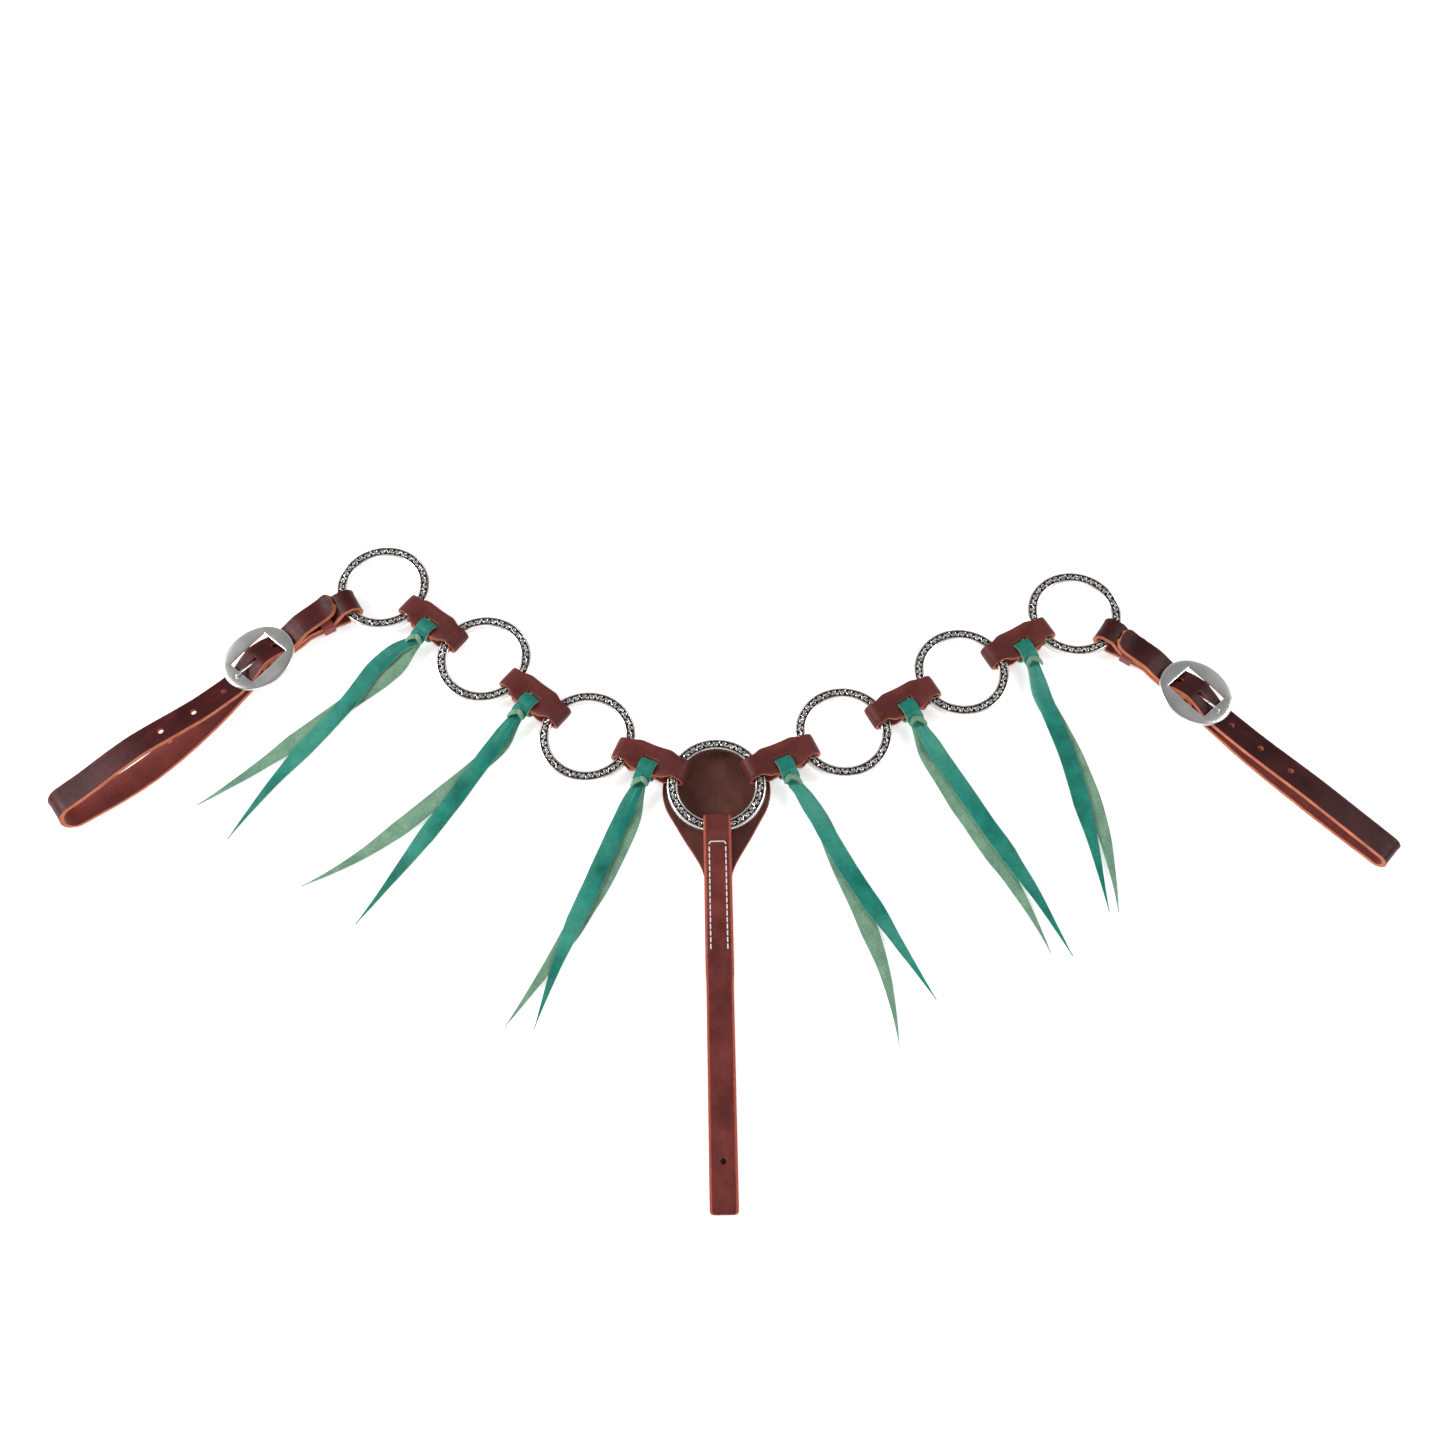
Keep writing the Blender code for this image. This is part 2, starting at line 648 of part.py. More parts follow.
def rectangle(half_width, low, high, corner):
    """A rectangle with its corners cut, in the (across, up) plane."""
    return [
        (half_width - corner, low), (half_width, low + corner), (half_width, high - corner),
        (half_width - corner, high), (-half_width + corner, high), (-half_width, high - corner),
        (-half_width, low + corner), (-half_width + corner, low),
    ]


def make_keeper(name, frame, finish):
    """A leather band round the two sewn layers, free to slide a little along them."""
    floor = STACK_LIFT - GAP
    top = STACK_LIFT + 2 * STRAP_LEATHER + 2 * GAP
    inner = rectangle(STRAP_HALF + 0.0004, floor, top, 0.0002)
    outer = rectangle(STRAP_HALF + 0.0004 + KEEPER_LEATHER, floor - KEEPER_LEATHER,
                      top + KEEPER_LEATHER, 0.0011)
    across = Matrix(((0, 0, 1, 0), (1, 0, 0, 0), (0, 1, 0, 0), (0, 0, 0, 1)))
    mesh = outline_mesh(name, (outer, inner), KEEPER_WIDTH / 2, across)
    return add_object(name, mesh, frame, finish)


def make_buckle(name, frame):
    """The oval plate with its window, two lugs below it and the bar between them."""
    steps = 40
    turn = 2 * math.pi / steps
    oval = [(PLATE_HALF_LENGTH * math.cos(turn * step), PLATE_HALF_WIDTH * math.sin(turn * step))
            for step in range(steps)]
    window = [(WINDOW_HALF_LENGTH, -WINDOW_HALF_WIDTH), (WINDOW_HALF_LENGTH, WINDOW_HALF_WIDTH),
              (-WINDOW_HALF_LENGTH, WINDOW_HALF_WIDTH), (-WINDOW_HALF_LENGTH, -WINDOW_HALF_WIDTH)]
    lift = Matrix.Translation((0.0, 0.0, PLATE_UNDERSIDE + PLATE_THICKNESS / 2))
    mesh = outline_mesh(name, (oval, window), PLATE_THICKNESS / 2, lift)
    obj = add_object(name, mesh, frame, "polished_steel")
    lug_inner, lug_outer = STRAP_HALF + 0.0012, STRAP_HALF + 0.0044
    for side, label in ((-1, "near"), (1, "far")):
        low_y, high_y = sorted((side * lug_inner, side * lug_outer))
        lug = box_mesh(f"{name}_lug_{label}", (-0.0033, low_y, BAR_HEIGHT - 0.0022),
                       (0.0033, high_y, PLATE_UNDERSIDE + 0.0005))
        boolean(obj, add_cutter(f"{name}_lug_{label}", lug, frame), "UNION")
    bar = cylinder_mesh(name + "_bar", BAR_RADIUS, (0.0, -lug_outer + 0.0005, BAR_HEIGHT),
                        (0.0, lug_outer - 0.0005, BAR_HEIGHT))
    boolean(obj, add_cutter(name + "_bar", bar, frame), "UNION")
    return obj


def make_tongue(name, frame):
    """A wire hooked round the bar, up through the billet's hole and out over the plate's edge."""
    eye = arc((0.0, 0.0), BAR_RADIUS + GAP + TONGUE_RADIUS, 372.0, 75.0, 14)
    rest = PLATE_UNDERSIDE + PLATE_THICKNESS + TONGUE_RADIUS + GAP - BAR_HEIGHT
    shank = [(0.0085, 0.60 * rest + 0.0008), (0.0165, rest), (0.0212, rest + 0.0001)]
    points = [(along, 0.0, up) for along, up in eye + shank]
    mesh = tube_mesh(name, points, TONGUE_RADIUS)
    smooth(mesh)
    pivot = frame @ Matrix.Translation((0.0, 0.0, BAR_HEIGHT))
    return add_object(name, mesh, pivot, "polished_steel")


# ---------------------------------------------------------------- centre

def centre_strap_path():
    """The cinch strap's middle, from the end of its sewn back layer round the ring to its far point."""
    half = STRAP_LEATHER / 2
    back = CENTRE_WIRE_HEIGHT - WRAP_RADIUS
    front = back + STRAP_LEATHER + GAP
    behind = [(SEWN_LENGTH, back), (0.3 * SEWN_LENGTH, back)]
    wrap = arc((-WRAP_SETBACK, CENTRE_WIRE_HEIGHT), WRAP_RADIUS, 270.0, 90.0, 14)
    ahead = smooth_path([
        (WRAP_CLEAR, CENTRE_WIRE_HEIGHT + WRAP_RADIUS), (0.0150, front + 0.0015), (0.0260, front),
        (0.60 * SEWN_LENGTH, front), (SEWN_LENGTH, front), (SEWN_LENGTH + 0.0100, front - 0.0024),
        (SEWN_LENGTH + 0.0230, half), (0.62 * STRAP_LENGTH, half),
        (0.9 * STRAP_LENGTH, half), (STRAP_LENGTH, half),
    ])
    return behind + wrap + ahead


def make_centre_strap(name, frame):
    path = with_point_rows(centre_strap_path(), CENTRE_POINT)
    half_width = strap_half_width(path, CENTRE_POINT, CENTRE_TIP)
    obj = folded_strip(name, path, half_width, STRAP_LEATHER, frame, "centre_strap_leather")
    along = STRAP_LENGTH - END_HOLE_FROM_TIP
    hole = cylinder_mesh(name + "_hole", HOLE_RADIUS, (along, 0.0, -0.005), (along, 0.0, 0.010))
    boolean(obj, add_cutter(name + "_hole", hole, frame), "DIFFERENCE")
    return obj


def make_backing(name, frame):
    """A teardrop of leather behind the ring: a disc that narrows to the strap's width and runs on."""
    sides = cylinder_profile(BACKING_RADIUS, 48)
    disc = [(x - WIRE_RADIUS, y) for x, y in sides if x < 0.50 * BACKING_RADIUS]
    disc.sort(key=lambda point: math.atan2(point[1], point[0] + WIRE_RADIUS) % (2 * math.pi))
    tail = STRAP_HALF - 0.0004
    lower = [(-0.0040, -0.0288), (0.0115, -0.0200), (0.0262, -0.0116), (0.0420, -tail), (SEWN_LENGTH, -tail)]
    upper = [(x, -y) for x, y in reversed(lower)]
    lift = Matrix.Translation((0.0, 0.0, BACKING_LEATHER / 2))
    mesh = outline_mesh(name, (upper + disc + lower,), BACKING_LEATHER / 2, lift)
    return add_object(name, mesh, frame, "backing_leather")


# ---------------------------------------------------------------- assembly

def make_side(side, headings, tails, lie):
    """The chain from the centre ring out to one tug strap. side is left or right."""
    below = 1 if side == "left" else -1
    place = Vector((0.0, 0.0, CENTRE_WIRE_HEIGHT))
    for number, (heading, height) in enumerate(zip(headings, WIRE_HEIGHTS), start=1):
        out = Vector((math.cos(math.radians(heading)), math.sin(math.radians(heading)), 0.0))
        pitch = math.asin((place.z - height) / WIRE_TO_WIRE)
        reach = WIRE_TO_WIRE * math.cos(pitch)
        middle = place + out * (WIRE_RADIUS + reach / 2)
        middle.z = (place.z + height) / 2
        frame = level_frame(middle, heading, pitch)
        make_link(f"{side}_link_{number}", frame, below)
        make_tassel(f"{side}_fringe_{number}", frame, below, tails[number - 1])
        place = place + out * (2 * WIRE_RADIUS + reach)
        place.z = height
        make_ring(f"{side}_ring_{number}", place)
    frame = tug_frame(place, lie)
    _, frame_at = tug_bend(lie)
    at_buckle = frame @ frame_at(BUCKLE_FROM_WIRE)
    make_tug_strap(f"{side}_tug_strap", frame, lie, place.z)
    make_keeper(f"{side}_keeper", frame @ frame_at(KEEPER_FROM_WIRE), lie.finish)
    make_buckle(f"{side}_buckle", at_buckle)
    make_tongue(f"{side}_buckle_tongue", at_buckle)


def make_centre():
    make_ring("centre_ring", Vector((0.0, 0.0, CENTRE_WIRE_HEIGHT)))
    heading = math.radians(STRAP_HEADING)
    foot = Vector((math.cos(heading), math.sin(heading), 0.0)) * WIRE_RADIUS
    frame = level_frame(foot, STRAP_HEADING)
    make_centre_strap("centre_strap", frame)
    make_backing("ring_backing", frame)


def centre_on_floor():
    """Moves everything so that the origin is the middle of the object's box, on the floor."""
    bpy.context.view_layer.update()
    graph = bpy.context.evaluated_depsgraph_get()
    corners = []
    for obj in bpy.data.collections["breastplate"].objects:
        shape = obj.evaluated_get(graph)
        corners += [shape.matrix_world @ point.co for point in shape.data.vertices]
    low = Vector(min(corner[axis] for corner in corners) for axis in range(3))
    high = Vector(max(corner[axis] for corner in corners) for axis in range(3))
    shift = Vector((-(low.x + high.x) / 2, -(low.y + high.y) / 2, -low.z))
    for label in ("breastplate", "cutters"):
        for obj in bpy.data.collections[label].objects:
            obj.matrix_world = Matrix.Translation(shift) @ obj.matrix_world
    bpy.context.view_layer.update()


def main():
    clear_scene()
    new_collection("breastplate")
    new_collection("cutters")
    make_centre()
    make_side("left", LEFT_HEADINGS, LEFT_TAILS, LEFT_TUG)
    make_side("right", RIGHT_HEADINGS, RIGHT_TAILS, RIGHT_TUG)
    centre_on_floor()


main()
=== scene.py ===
import json
import math

import bmesh
import bpy
from mathutils import Matrix, Vector, noise


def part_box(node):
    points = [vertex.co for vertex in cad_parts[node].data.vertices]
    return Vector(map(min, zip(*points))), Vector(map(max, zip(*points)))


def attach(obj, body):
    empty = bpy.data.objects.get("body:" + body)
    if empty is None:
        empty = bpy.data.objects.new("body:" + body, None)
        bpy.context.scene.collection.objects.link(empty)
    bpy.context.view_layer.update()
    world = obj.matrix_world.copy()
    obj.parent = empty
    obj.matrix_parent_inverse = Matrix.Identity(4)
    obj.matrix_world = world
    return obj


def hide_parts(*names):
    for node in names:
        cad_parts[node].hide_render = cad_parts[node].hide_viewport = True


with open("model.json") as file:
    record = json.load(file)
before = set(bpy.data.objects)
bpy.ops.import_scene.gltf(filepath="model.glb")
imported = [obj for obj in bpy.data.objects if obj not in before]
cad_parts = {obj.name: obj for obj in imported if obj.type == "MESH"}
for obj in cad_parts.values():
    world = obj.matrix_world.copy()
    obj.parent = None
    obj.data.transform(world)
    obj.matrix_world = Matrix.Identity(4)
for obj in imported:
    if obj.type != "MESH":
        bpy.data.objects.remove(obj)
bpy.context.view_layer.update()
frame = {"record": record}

# ---------------------------------------------------------------- driving dimensions, metres and degrees

GAP = 0.0003
RING_OUTER_RADIUS = 0.0350
RING_BAND = 0.0076
RING_DEPTH = 0.0060
WIRE_RADIUS = RING_OUTER_RADIUS - RING_BAND / 2
LINK_SPAN = 0.0383                # between the wires of the two rings that a link joins
LINK_LEATHER = 0.0024
LINK_CAVITY = 0.0048
LINK_FOLD_REACH = 0.0021
LINK_MIDDLE_HALF = 0.0110
LINK_NECK_HALF = 0.0074
LINK_FOLD_HALF = 0.0080
STACK_RISE = 0.0003
BAND_HALF = 0.0039
LOOP_INNER = 0.0058
THONG = 0.0016
LOOP_WIDTH = 0.0120
SLOT_LENGTH = 0.0135
STRAP_HALF = 0.00925
STRAP_LEATHER = 0.0030
WRAP_RADIUS = 0.0063
WRAP_SETBACK = 0.0017
WRAP_CLEAR = 0.0040
BUCKLE_FROM_WIRE = 0.0738
HOLE_PITCH = 0.0254
HOLE_RADIUS = 0.0021
TONGUE_HOLE_FROM_BAR = 0.0086
KEEPER_WIDTH = 0.0090
KEEPER_LEATHER = 0.0018
KEEPER_FROM_WIRE = 0.0185
STACK_LIFT = 0.0024
PLATE_HALF_LENGTH = 0.0278
PLATE_HALF_WIDTH = 0.0240
WINDOW_HALF_LENGTH = 0.0167
WINDOW_HALF_WIDTH = 0.0117
PLATE_THICKNESS = 0.0024
PLATE_UNDERSIDE = 0.0112
BAR_RADIUS = 0.0015
BAR_HEIGHT = 0.0081
TONGUE_RADIUS = 0.0011
BACKING_RADIUS = 0.0385
BACKING_LEATHER = 0.0024
SEWN_LENGTH = 0.0860
STRAP_LENGTH = 0.2552
END_HOLE_FROM_TIP = 0.0322
TUG_STRAIGHT = 0.0320            # how far from the wire a tug strap runs straight, in plan

# How a tug strap lies: its heading in plan, the degrees it has slipped round the ring from that heading, the
# height and the reach of its far loop, its sideways bend, how far its lower layer lies beside its upper one,
# and how far its loose end has drifted off the sewn layers. The pairs are distance from the wire and sideways
# distance.
TUGS = {
    "left": {
        "heading": -140.3, "slip": -9.0, "loop_height": 0.0235, "reach": 0.2485,
        "bend": ((0.045, -0.0106), (0.060, -0.0096), (0.090, -0.0037), (0.130, 0.0046), (0.185, 0.0101),
                 (0.252, 0.0072)),
        "spread": ((0.088, 0.0), (0.125, 0.0040), (0.160, 0.0082), (0.200, 0.0092), (0.252, 0.0044)),
        "drift": -0.0052,
    },
    "right": {
        "heading": -42.8, "slip": 8.0, "loop_height": 0.0155, "reach": 0.2463,
        "bend": ((0.045, 0.0088), (0.060, 0.0074), (0.090, 0.0041), (0.130, -0.0004), (0.185, -0.0032),
                 (0.250, -0.0042)),
        "spread": ((0.088, 0.0), (0.250, 0.0)),
        "drift": 0.0,
    },
}

# Fringe tails: four headings from the knot to the tip and the length, for the grain tail and the flesh tail
TAILS = {
    "left": (
        ((-120.0, -111.5, -112.0, -105.0, 0.184), (-101.0, -112.0, -120.5, -124.0, 0.192)),
        ((-130.0, -121.0, -123.0, -125.0, 0.184), (-116.0, -137.0, -137.0, -154.0, 0.192)),
        ((-166.0, -119.0, -128.5, -120.0, 0.197), (-122.0, -141.0, -138.0, -145.0, 0.193)),
    ),
    "right": (
        ((-48.0, -64.0, -58.0, -59.0, 0.180), (-43.0, -70.0, -68.0, -87.0, 0.199)),
        ((-54.0, -61.0, -59.0, -65.5, 0.1955), (-73.0, -63.0, -58.5, -70.5, 0.187)),
        ((-77.0, -73.0, -81.0, -84.0, 0.1915), (-80.5, -65.5, -76.5, -91.0, 0.194)),
    ),
}
TAIL_NODES = (0.0, 0.22, 0.55, 1.0)     # shares of a tail's length at which its four headings hold
TAIL_DROP = 0.66                 # where the upper tail starts to come down to the floor
KNOT_START = 0.0123              # from the loop's middle to where the tails begin

# ---------------------------------------------------------------- camera and light

def placed(name, data):
    """A new object in the scene."""
    obj = bpy.data.objects.new(name, data)
    bpy.context.scene.collection.objects.link(obj)
    return obj


def centre_of(node):
    """The middle of a node's box."""
    low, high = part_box(node)
    return (Vector(low) + Vector(high)) / 2


def make_camera():
    """The photograph's view: from 65 degrees above the table, about a metre away."""
    distance, elevation, lens = 1.022, math.radians(65.2), 34.9
    aim = centre_of("centre_ring") + Vector((0.0043, 0.0543, 0.0))
    aim.z = 0.0
    data = bpy.data.cameras.new("camera")
    data.lens = lens
    data.sensor_width = 36.0
    camera = placed("camera", data)
    back = Vector((0.0, -math.cos(elevation), math.sin(elevation)))
    camera.location = aim + back * distance
    camera.rotation_euler = (-back).to_track_quat("-Z", "Y").to_euler()
    bpy.context.scene.camera = camera


def make_light(name, place, size, power):
    """A softbox aimed at the object's middle."""
    data = bpy.data.lights.new(name, "AREA")
    data.shape = "RECTANGLE"
    data.size, data.size_y = size
    data.energy = power
    lamp = placed(name, data)
    lamp.location = place
    lamp.rotation_euler = (Vector((0.0, 0.0, 0.0)) - Vector(place)).to_track_quat("-Z", "Y").to_euler()


def make_studio():
    """A grey room that is brightest at mid height, three softboxes and a pale table."""
    bpy.context.scene.view_settings.view_transform = "Standard"
    world = bpy.data.worlds.new("studio")
    bpy.context.scene.world = world
    world.use_nodes = True
    tree = world.node_tree
    coord = tree.nodes.new("ShaderNodeTexCoord")
    split = tree.nodes.new("ShaderNodeSeparateXYZ")
    ramp = tree.nodes.new("ShaderNodeValToRGB")
    tree.links.new(coord.outputs["Generated"], split.inputs[0])
    tree.links.new(split.outputs["Z"], ramp.inputs[0])
    stops = ((0.0, 0.25), (0.35, 0.85), (0.60, 0.72), (0.84, 0.42), (1.0, 0.36))
    while len(ramp.color_ramp.elements) < len(stops):
        ramp.color_ramp.elements.new(0.5)
    for element, (height, level) in zip(ramp.color_ramp.elements, stops):
        element.position = height
        element.color = (level, level, level, 1.0)
    background = tree.nodes["Background"]
    background.inputs["Strength"].default_value = 0.62
    tree.links.new(ramp.outputs[0], background.inputs["Color"])
    make_light("key_softbox", (-2.0, 0.3, 1.4), (1.0, 1.0), 52.0)
    make_light("fill_softbox", (1.9, 0.2, 1.5), (1.0, 1.0), 22.0)
    make_light("front_softbox", (0.0, -1.6, 0.9), (1.6, 0.5), 7.0)
    floor = bpy.data.meshes.new("floor")
    half = 6.0
    floor.from_pydata([(-half, -half, 0), (half, -half, 0), (half, half, 0), (-half, half, 0)], [],
                      [(0, 1, 2, 3)])
    table = placed("floor", floor)
    table.location.z = -0.0002
    paper = bpy.data.materials.new("white_paper")
    paper.use_nodes = True
    shader = paper.node_tree.nodes["Principled BSDF"]
    shader.inputs["Base Color"].default_value = (0.93, 0.93, 0.93, 1.0)
    shader.inputs["Roughness"].default_value = 0.9
    shader.inputs["Emission Color"].default_value = (1.0, 1.0, 1.0, 1.0)
    shader.inputs["Emission Strength"].default_value = 0.50
    floor.materials.append(paper)


# ---------------------------------------------------------------- materials

class Nodes:
    """A material's node tree, with short ways to add what these surfaces need."""

    def __init__(self, name, roughness, metallic=0.0):
        self.material = bpy.data.materials.new(name)
        self.material.use_nodes = True
        self.tree = self.material.node_tree
        self.shader = self.tree.nodes["Principled BSDF"]
        self.shader.inputs["Roughness"].default_value = roughness
        self.shader.inputs["Metallic"].default_value = metallic
        self.coord = self.tree.nodes.new("ShaderNodeTexCoord").outputs["Object"]

    def link(self, source, target):
        self.tree.links.new(source, target)

    def feed(self, values, sockets):
        """Links each socket to its value, or sets it where the value is a number or a colour."""
        for value, socket in zip(values, sockets):
            if isinstance(value, bpy.types.NodeSocket):
                self.link(value, socket)
            else:
                socket.default_value = (*value, 1.0) if isinstance(value, tuple) else value

    def stretched(self, scale):
        mapping = self.tree.nodes.new("ShaderNodeMapping")
        mapping.inputs["Scale"].default_value = scale
        self.link(self.coord, mapping.inputs["Vector"])
        return mapping.outputs["Vector"]

    def noise(self, scale, detail=3.0, vector=None, distortion=0.0):
        node = self.tree.nodes.new("ShaderNodeTexNoise")
        node.inputs["Scale"].default_value = scale
        node.inputs["Detail"].default_value = detail
        node.inputs["Distortion"].default_value = distortion
        self.link(vector or self.coord, node.inputs["Vector"])
        return node.outputs["Fac"]

    def cells(self, scale, feature="DISTANCE_TO_EDGE"):
        node = self.tree.nodes.new("ShaderNodeTexVoronoi")
        node.feature = feature
        node.inputs["Scale"].default_value = scale
        self.link(self.coord, node.inputs["Vector"])
        return node.outputs["Distance"]

    def attribute(self, name):
        node = self.tree.nodes.new("ShaderNodeAttribute")
        node.attribute_name = name
        return node.outputs["Fac"]

    def ramp(self, source, *stops):
        node = self.tree.nodes.new("ShaderNodeValToRGB")
        elements = node.color_ramp.elements
        while len(elements) < len(stops):
            elements.new(0.5)
        for element, (position, value) in zip(elements, stops):
            element.position = position
            element.color = (*value, 1.0) if isinstance(value, tuple) else (value, value, value, 1.0)
        self.link(source, node.inputs[0])
        return node.outputs["Color"]

    def mix(self, factor, first, second, mode="MIX"):
        node = self.tree.nodes.new("ShaderNodeMix")
        node.data_type = "RGBA"
        node.blend_type = mode
        self.feed((factor, first, second), (node.inputs[0], node.inputs[6], node.inputs[7]))
        return node.outputs[2]

    def math(self, operation, first, second):
        node = self.tree.nodes.new("ShaderNodeMath")
        node.operation = operation
        self.feed((first, second), node.inputs)
        return node.outputs[0]

    def bump(self, height, depth, normal=None):
        """Raises the surface by height times depth, in metres."""
        node = self.tree.nodes.new("ShaderNodeBump")
        node.inputs["Strength"].default_value = 1.0
        node.inputs["Distance"].default_value = depth
        self.link(height, node.inputs["Height"])
        if normal:
            self.link(normal, node.inputs["Normal"])
        return node.outputs["Normal"]

    def surface(self, colour=None, roughness=None, metallic=None, normal=None):
        for source, label in ((colour, "Base Color"), (roughness, "Roughness"), (metallic, "Metallic"),
                              (normal, "Normal")):
            if source is not None:
                self.link(source, self.shader.inputs[label])
        return self.material


def grain_leather(name, colour, deep, pulled, edge=None, edge_from=0.8):
    """Oiled bridle leather: mottled, with fine pores and creases and a worn line along the strap's edges."""
    n = Nodes(name, 0.4)
    mottle = n.ramp(n.noise(55.0, 5.0), (0.32, 0.0), (0.70, 1.0))
    body = n.mix(mottle, deep, colour)
    pores = n.ramp(n.noise(1500.0, 2.0), (0.35, 0.70), (0.62, 1.0))
    body = n.mix(0.55, body, pores, "MULTIPLY")
    streak = n.ramp(n.noise(160.0, 4.0, n.stretched((0.25, 1.0, 1.0))), (0.55, 0.0), (0.80, 1.0))
    body = n.mix(n.math("MULTIPLY", streak, 0.35), body, pulled)
    rim = n.math("ABSOLUTE", n.attribute("across"), 0.0)
    rim = n.math("ADD", rim, n.math("MULTIPLY", n.math("SUBTRACT", n.noise(260.0, 3.0), 0.5), 0.12))
    if edge:
        worn = n.ramp(rim, (edge_from - 0.03, 0.0), (edge_from + 0.03, 1.0))
        body = n.mix(worn, body, n.mix(n.noise(420.0, 4.0), tuple(0.6 * part for part in edge), edge))
    else:
        worn = n.ramp(rim, (0.90, 0.0), (1.0, 0.7))
        body = n.mix(worn, body, pulled)
    rough = n.ramp(n.noise(240.0, 4.0), (0.3, 0.33), (0.7, 0.50))
    creases = n.ramp(n.cells(950.0), (0.0, 0.0), (0.16, 1.0))
    normal = n.bump(creases, 0.00004)
    normal = n.bump(n.noise(330.0, 5.0, n.stretched((0.4, 1.0, 1.0))), 0.00012, normal)
    n.shader.inputs["Specular IOR Level"].default_value = 0.17
    return n.surface(body, rough, None, normal)


def cut_edge(name, colour, deep):
    """The raw cut edge: pale, fibrous layers that run along the strap."""
    n = Nodes(name, 0.72)
    fibres = n.noise(900.0, 5.0, n.stretched((0.12, 0.12, 1.0)))
    body = n.mix(n.ramp(fibres, (0.3, 0.0), (0.68, 1.0)), deep, colour)
    patches = n.ramp(n.noise(130.0, 3.0), (0.35, 0.0), (0.72, 0.6))
    body = n.mix(patches, body, tuple(0.75 * part for part in deep))
    rough = n.ramp(n.noise(500.0), (0.3, 0.6), (0.7, 0.85))
    return n.surface(body, rough, None, n.bump(fibres, 0.00015))


def flesh_leather(name, colour, deep, nap=0.00018):
    """The rough flesh side: short matted fibres, with painted shade between them."""
    n = Nodes(name, 0.85)
    cloud = n.ramp(n.noise(75.0, 4.0), (0.3, 0.0), (0.75, 1.0))
    body = n.mix(cloud, deep, colour)
    fibres = n.noise(1300.0, 6.0, None, 0.6)
    # The fibre noise also darkens the colour where the nap is low: painted shade between the fibres.
    body = n.mix(0.75, body, n.ramp(fibres, (0.30, 0.55), (0.66, 1.0)), "MULTIPLY")
    curls = n.ramp(n.cells(620.0, "F1"), (0.1, 1.0), (0.7, 0.6))
    body = n.mix(0.5, body, curls, "MULTIPLY")
    n.shader.inputs["Sheen Weight"].default_value = 0.35
    n.shader.inputs["Sheen Roughness"].default_value = 0.5
    rough = n.ramp(n.noise(900.0), (0.3, 0.78), (0.7, 0.95))
    return n.surface(body, rough, None, n.bump(fibres, nap))


def dyed_thong():
    """Teal latigo, grain side up: fine cross wrinkles darkened by painted shade, pull marks and paler rubbed
    places.
    """
    n = Nodes("teal_grain", 0.5)
    cloud = n.ramp(n.noise(70.0, 5.0), (0.30, 0.0), (0.72, 1.0))
    body = n.mix(cloud, (0.003, 0.125, 0.094), (0.014, 0.260, 0.195))
    rubbed = n.ramp(n.noise(14.0, 4.0), (0.46, 0.0), (0.66, 0.65))
    body = n.mix(rubbed, body, (0.085, 0.380, 0.285))
    wrinkle = n.noise(420.0, 4.0, None, 1.2)
    # The wrinkle noise also darkens the colour in the wrinkles' hollows: painted shade in the creases.
    body = n.mix(0.45, body, n.ramp(wrinkle, (0.34, 0.62), (0.60, 1.0)), "MULTIPLY")
    pores = n.ramp(n.cells(1300.0), (0.0, 0.0), (0.2, 1.0))
    normal = n.bump(pores, 0.00004)
    normal = n.bump(wrinkle, 0.00022, normal)
    rough = n.ramp(n.noise(180.0, 4.0), (0.3, 0.42), (0.7, 0.60))
    n.shader.inputs["Specular IOR Level"].default_value = 0.22
    return n.surface(body, rough, None, normal)


def engraved_silver():
    """Silver scrolls over a blackened ground, by the mesh's own recess value, with light tarnish."""
    n = Nodes("engraved_silver", 0.25, 1.0)
    recess = n.attribute("recess")
    black = n.ramp(recess, (0.30, 0.0), (0.52, 1.0))
    tarnish = n.ramp(n.noise(160.0, 4.0), (0.40, 0.0), (0.85, 0.45))
    silver = n.mix(tarnish, (0.84, 0.81, 0.79), (0.62, 0.52, 0.45))
    body = n.mix(black, silver, (0.006, 0.005, 0.005))
    rough = n.mix(black, n.ramp(n.noise(600.0), (0.3, 0.20), (0.7, 0.34)), (0.70, 0.70, 0.70))
    metal = n.ramp(recess, (0.30, 1.0), (0.52, 0.0))
    n.shader.inputs["Specular IOR Level"].default_value = 0.25
    return n.surface(body, rough, metal, n.bump(n.noise(1500.0, 4.0), 0.00002))


def polished_steel():
    """Polished steel with fine hairlines from wear."""
    n = Nodes("polished_steel", 0.2, 1.0)
    hairs = n.noise(900.0, 3.0, n.stretched((0.05, 1.0, 1.0)))
    cloud = n.noise(60.0, 3.0)
    body = n.mix(cloud, (0.70, 0.70, 0.69), (0.80, 0.79, 0.78))
    rough = n.ramp(cloud, (0.3, 0.24), (0.72, 0.32))
    return n.surface(body, rough, None, n.bump(hairs, 0.000004))


def waxed_thread():
    """Twisted white thread."""
    n = Nodes("white_thread", 0.6)
    body = n.mix(n.noise(900.0, 3.0), (0.62, 0.58, 0.52), (0.90, 0.88, 0.83))
    return n.surface(body, None, None, n.bump(n.noise(2600.0, 3.0), 0.00008))


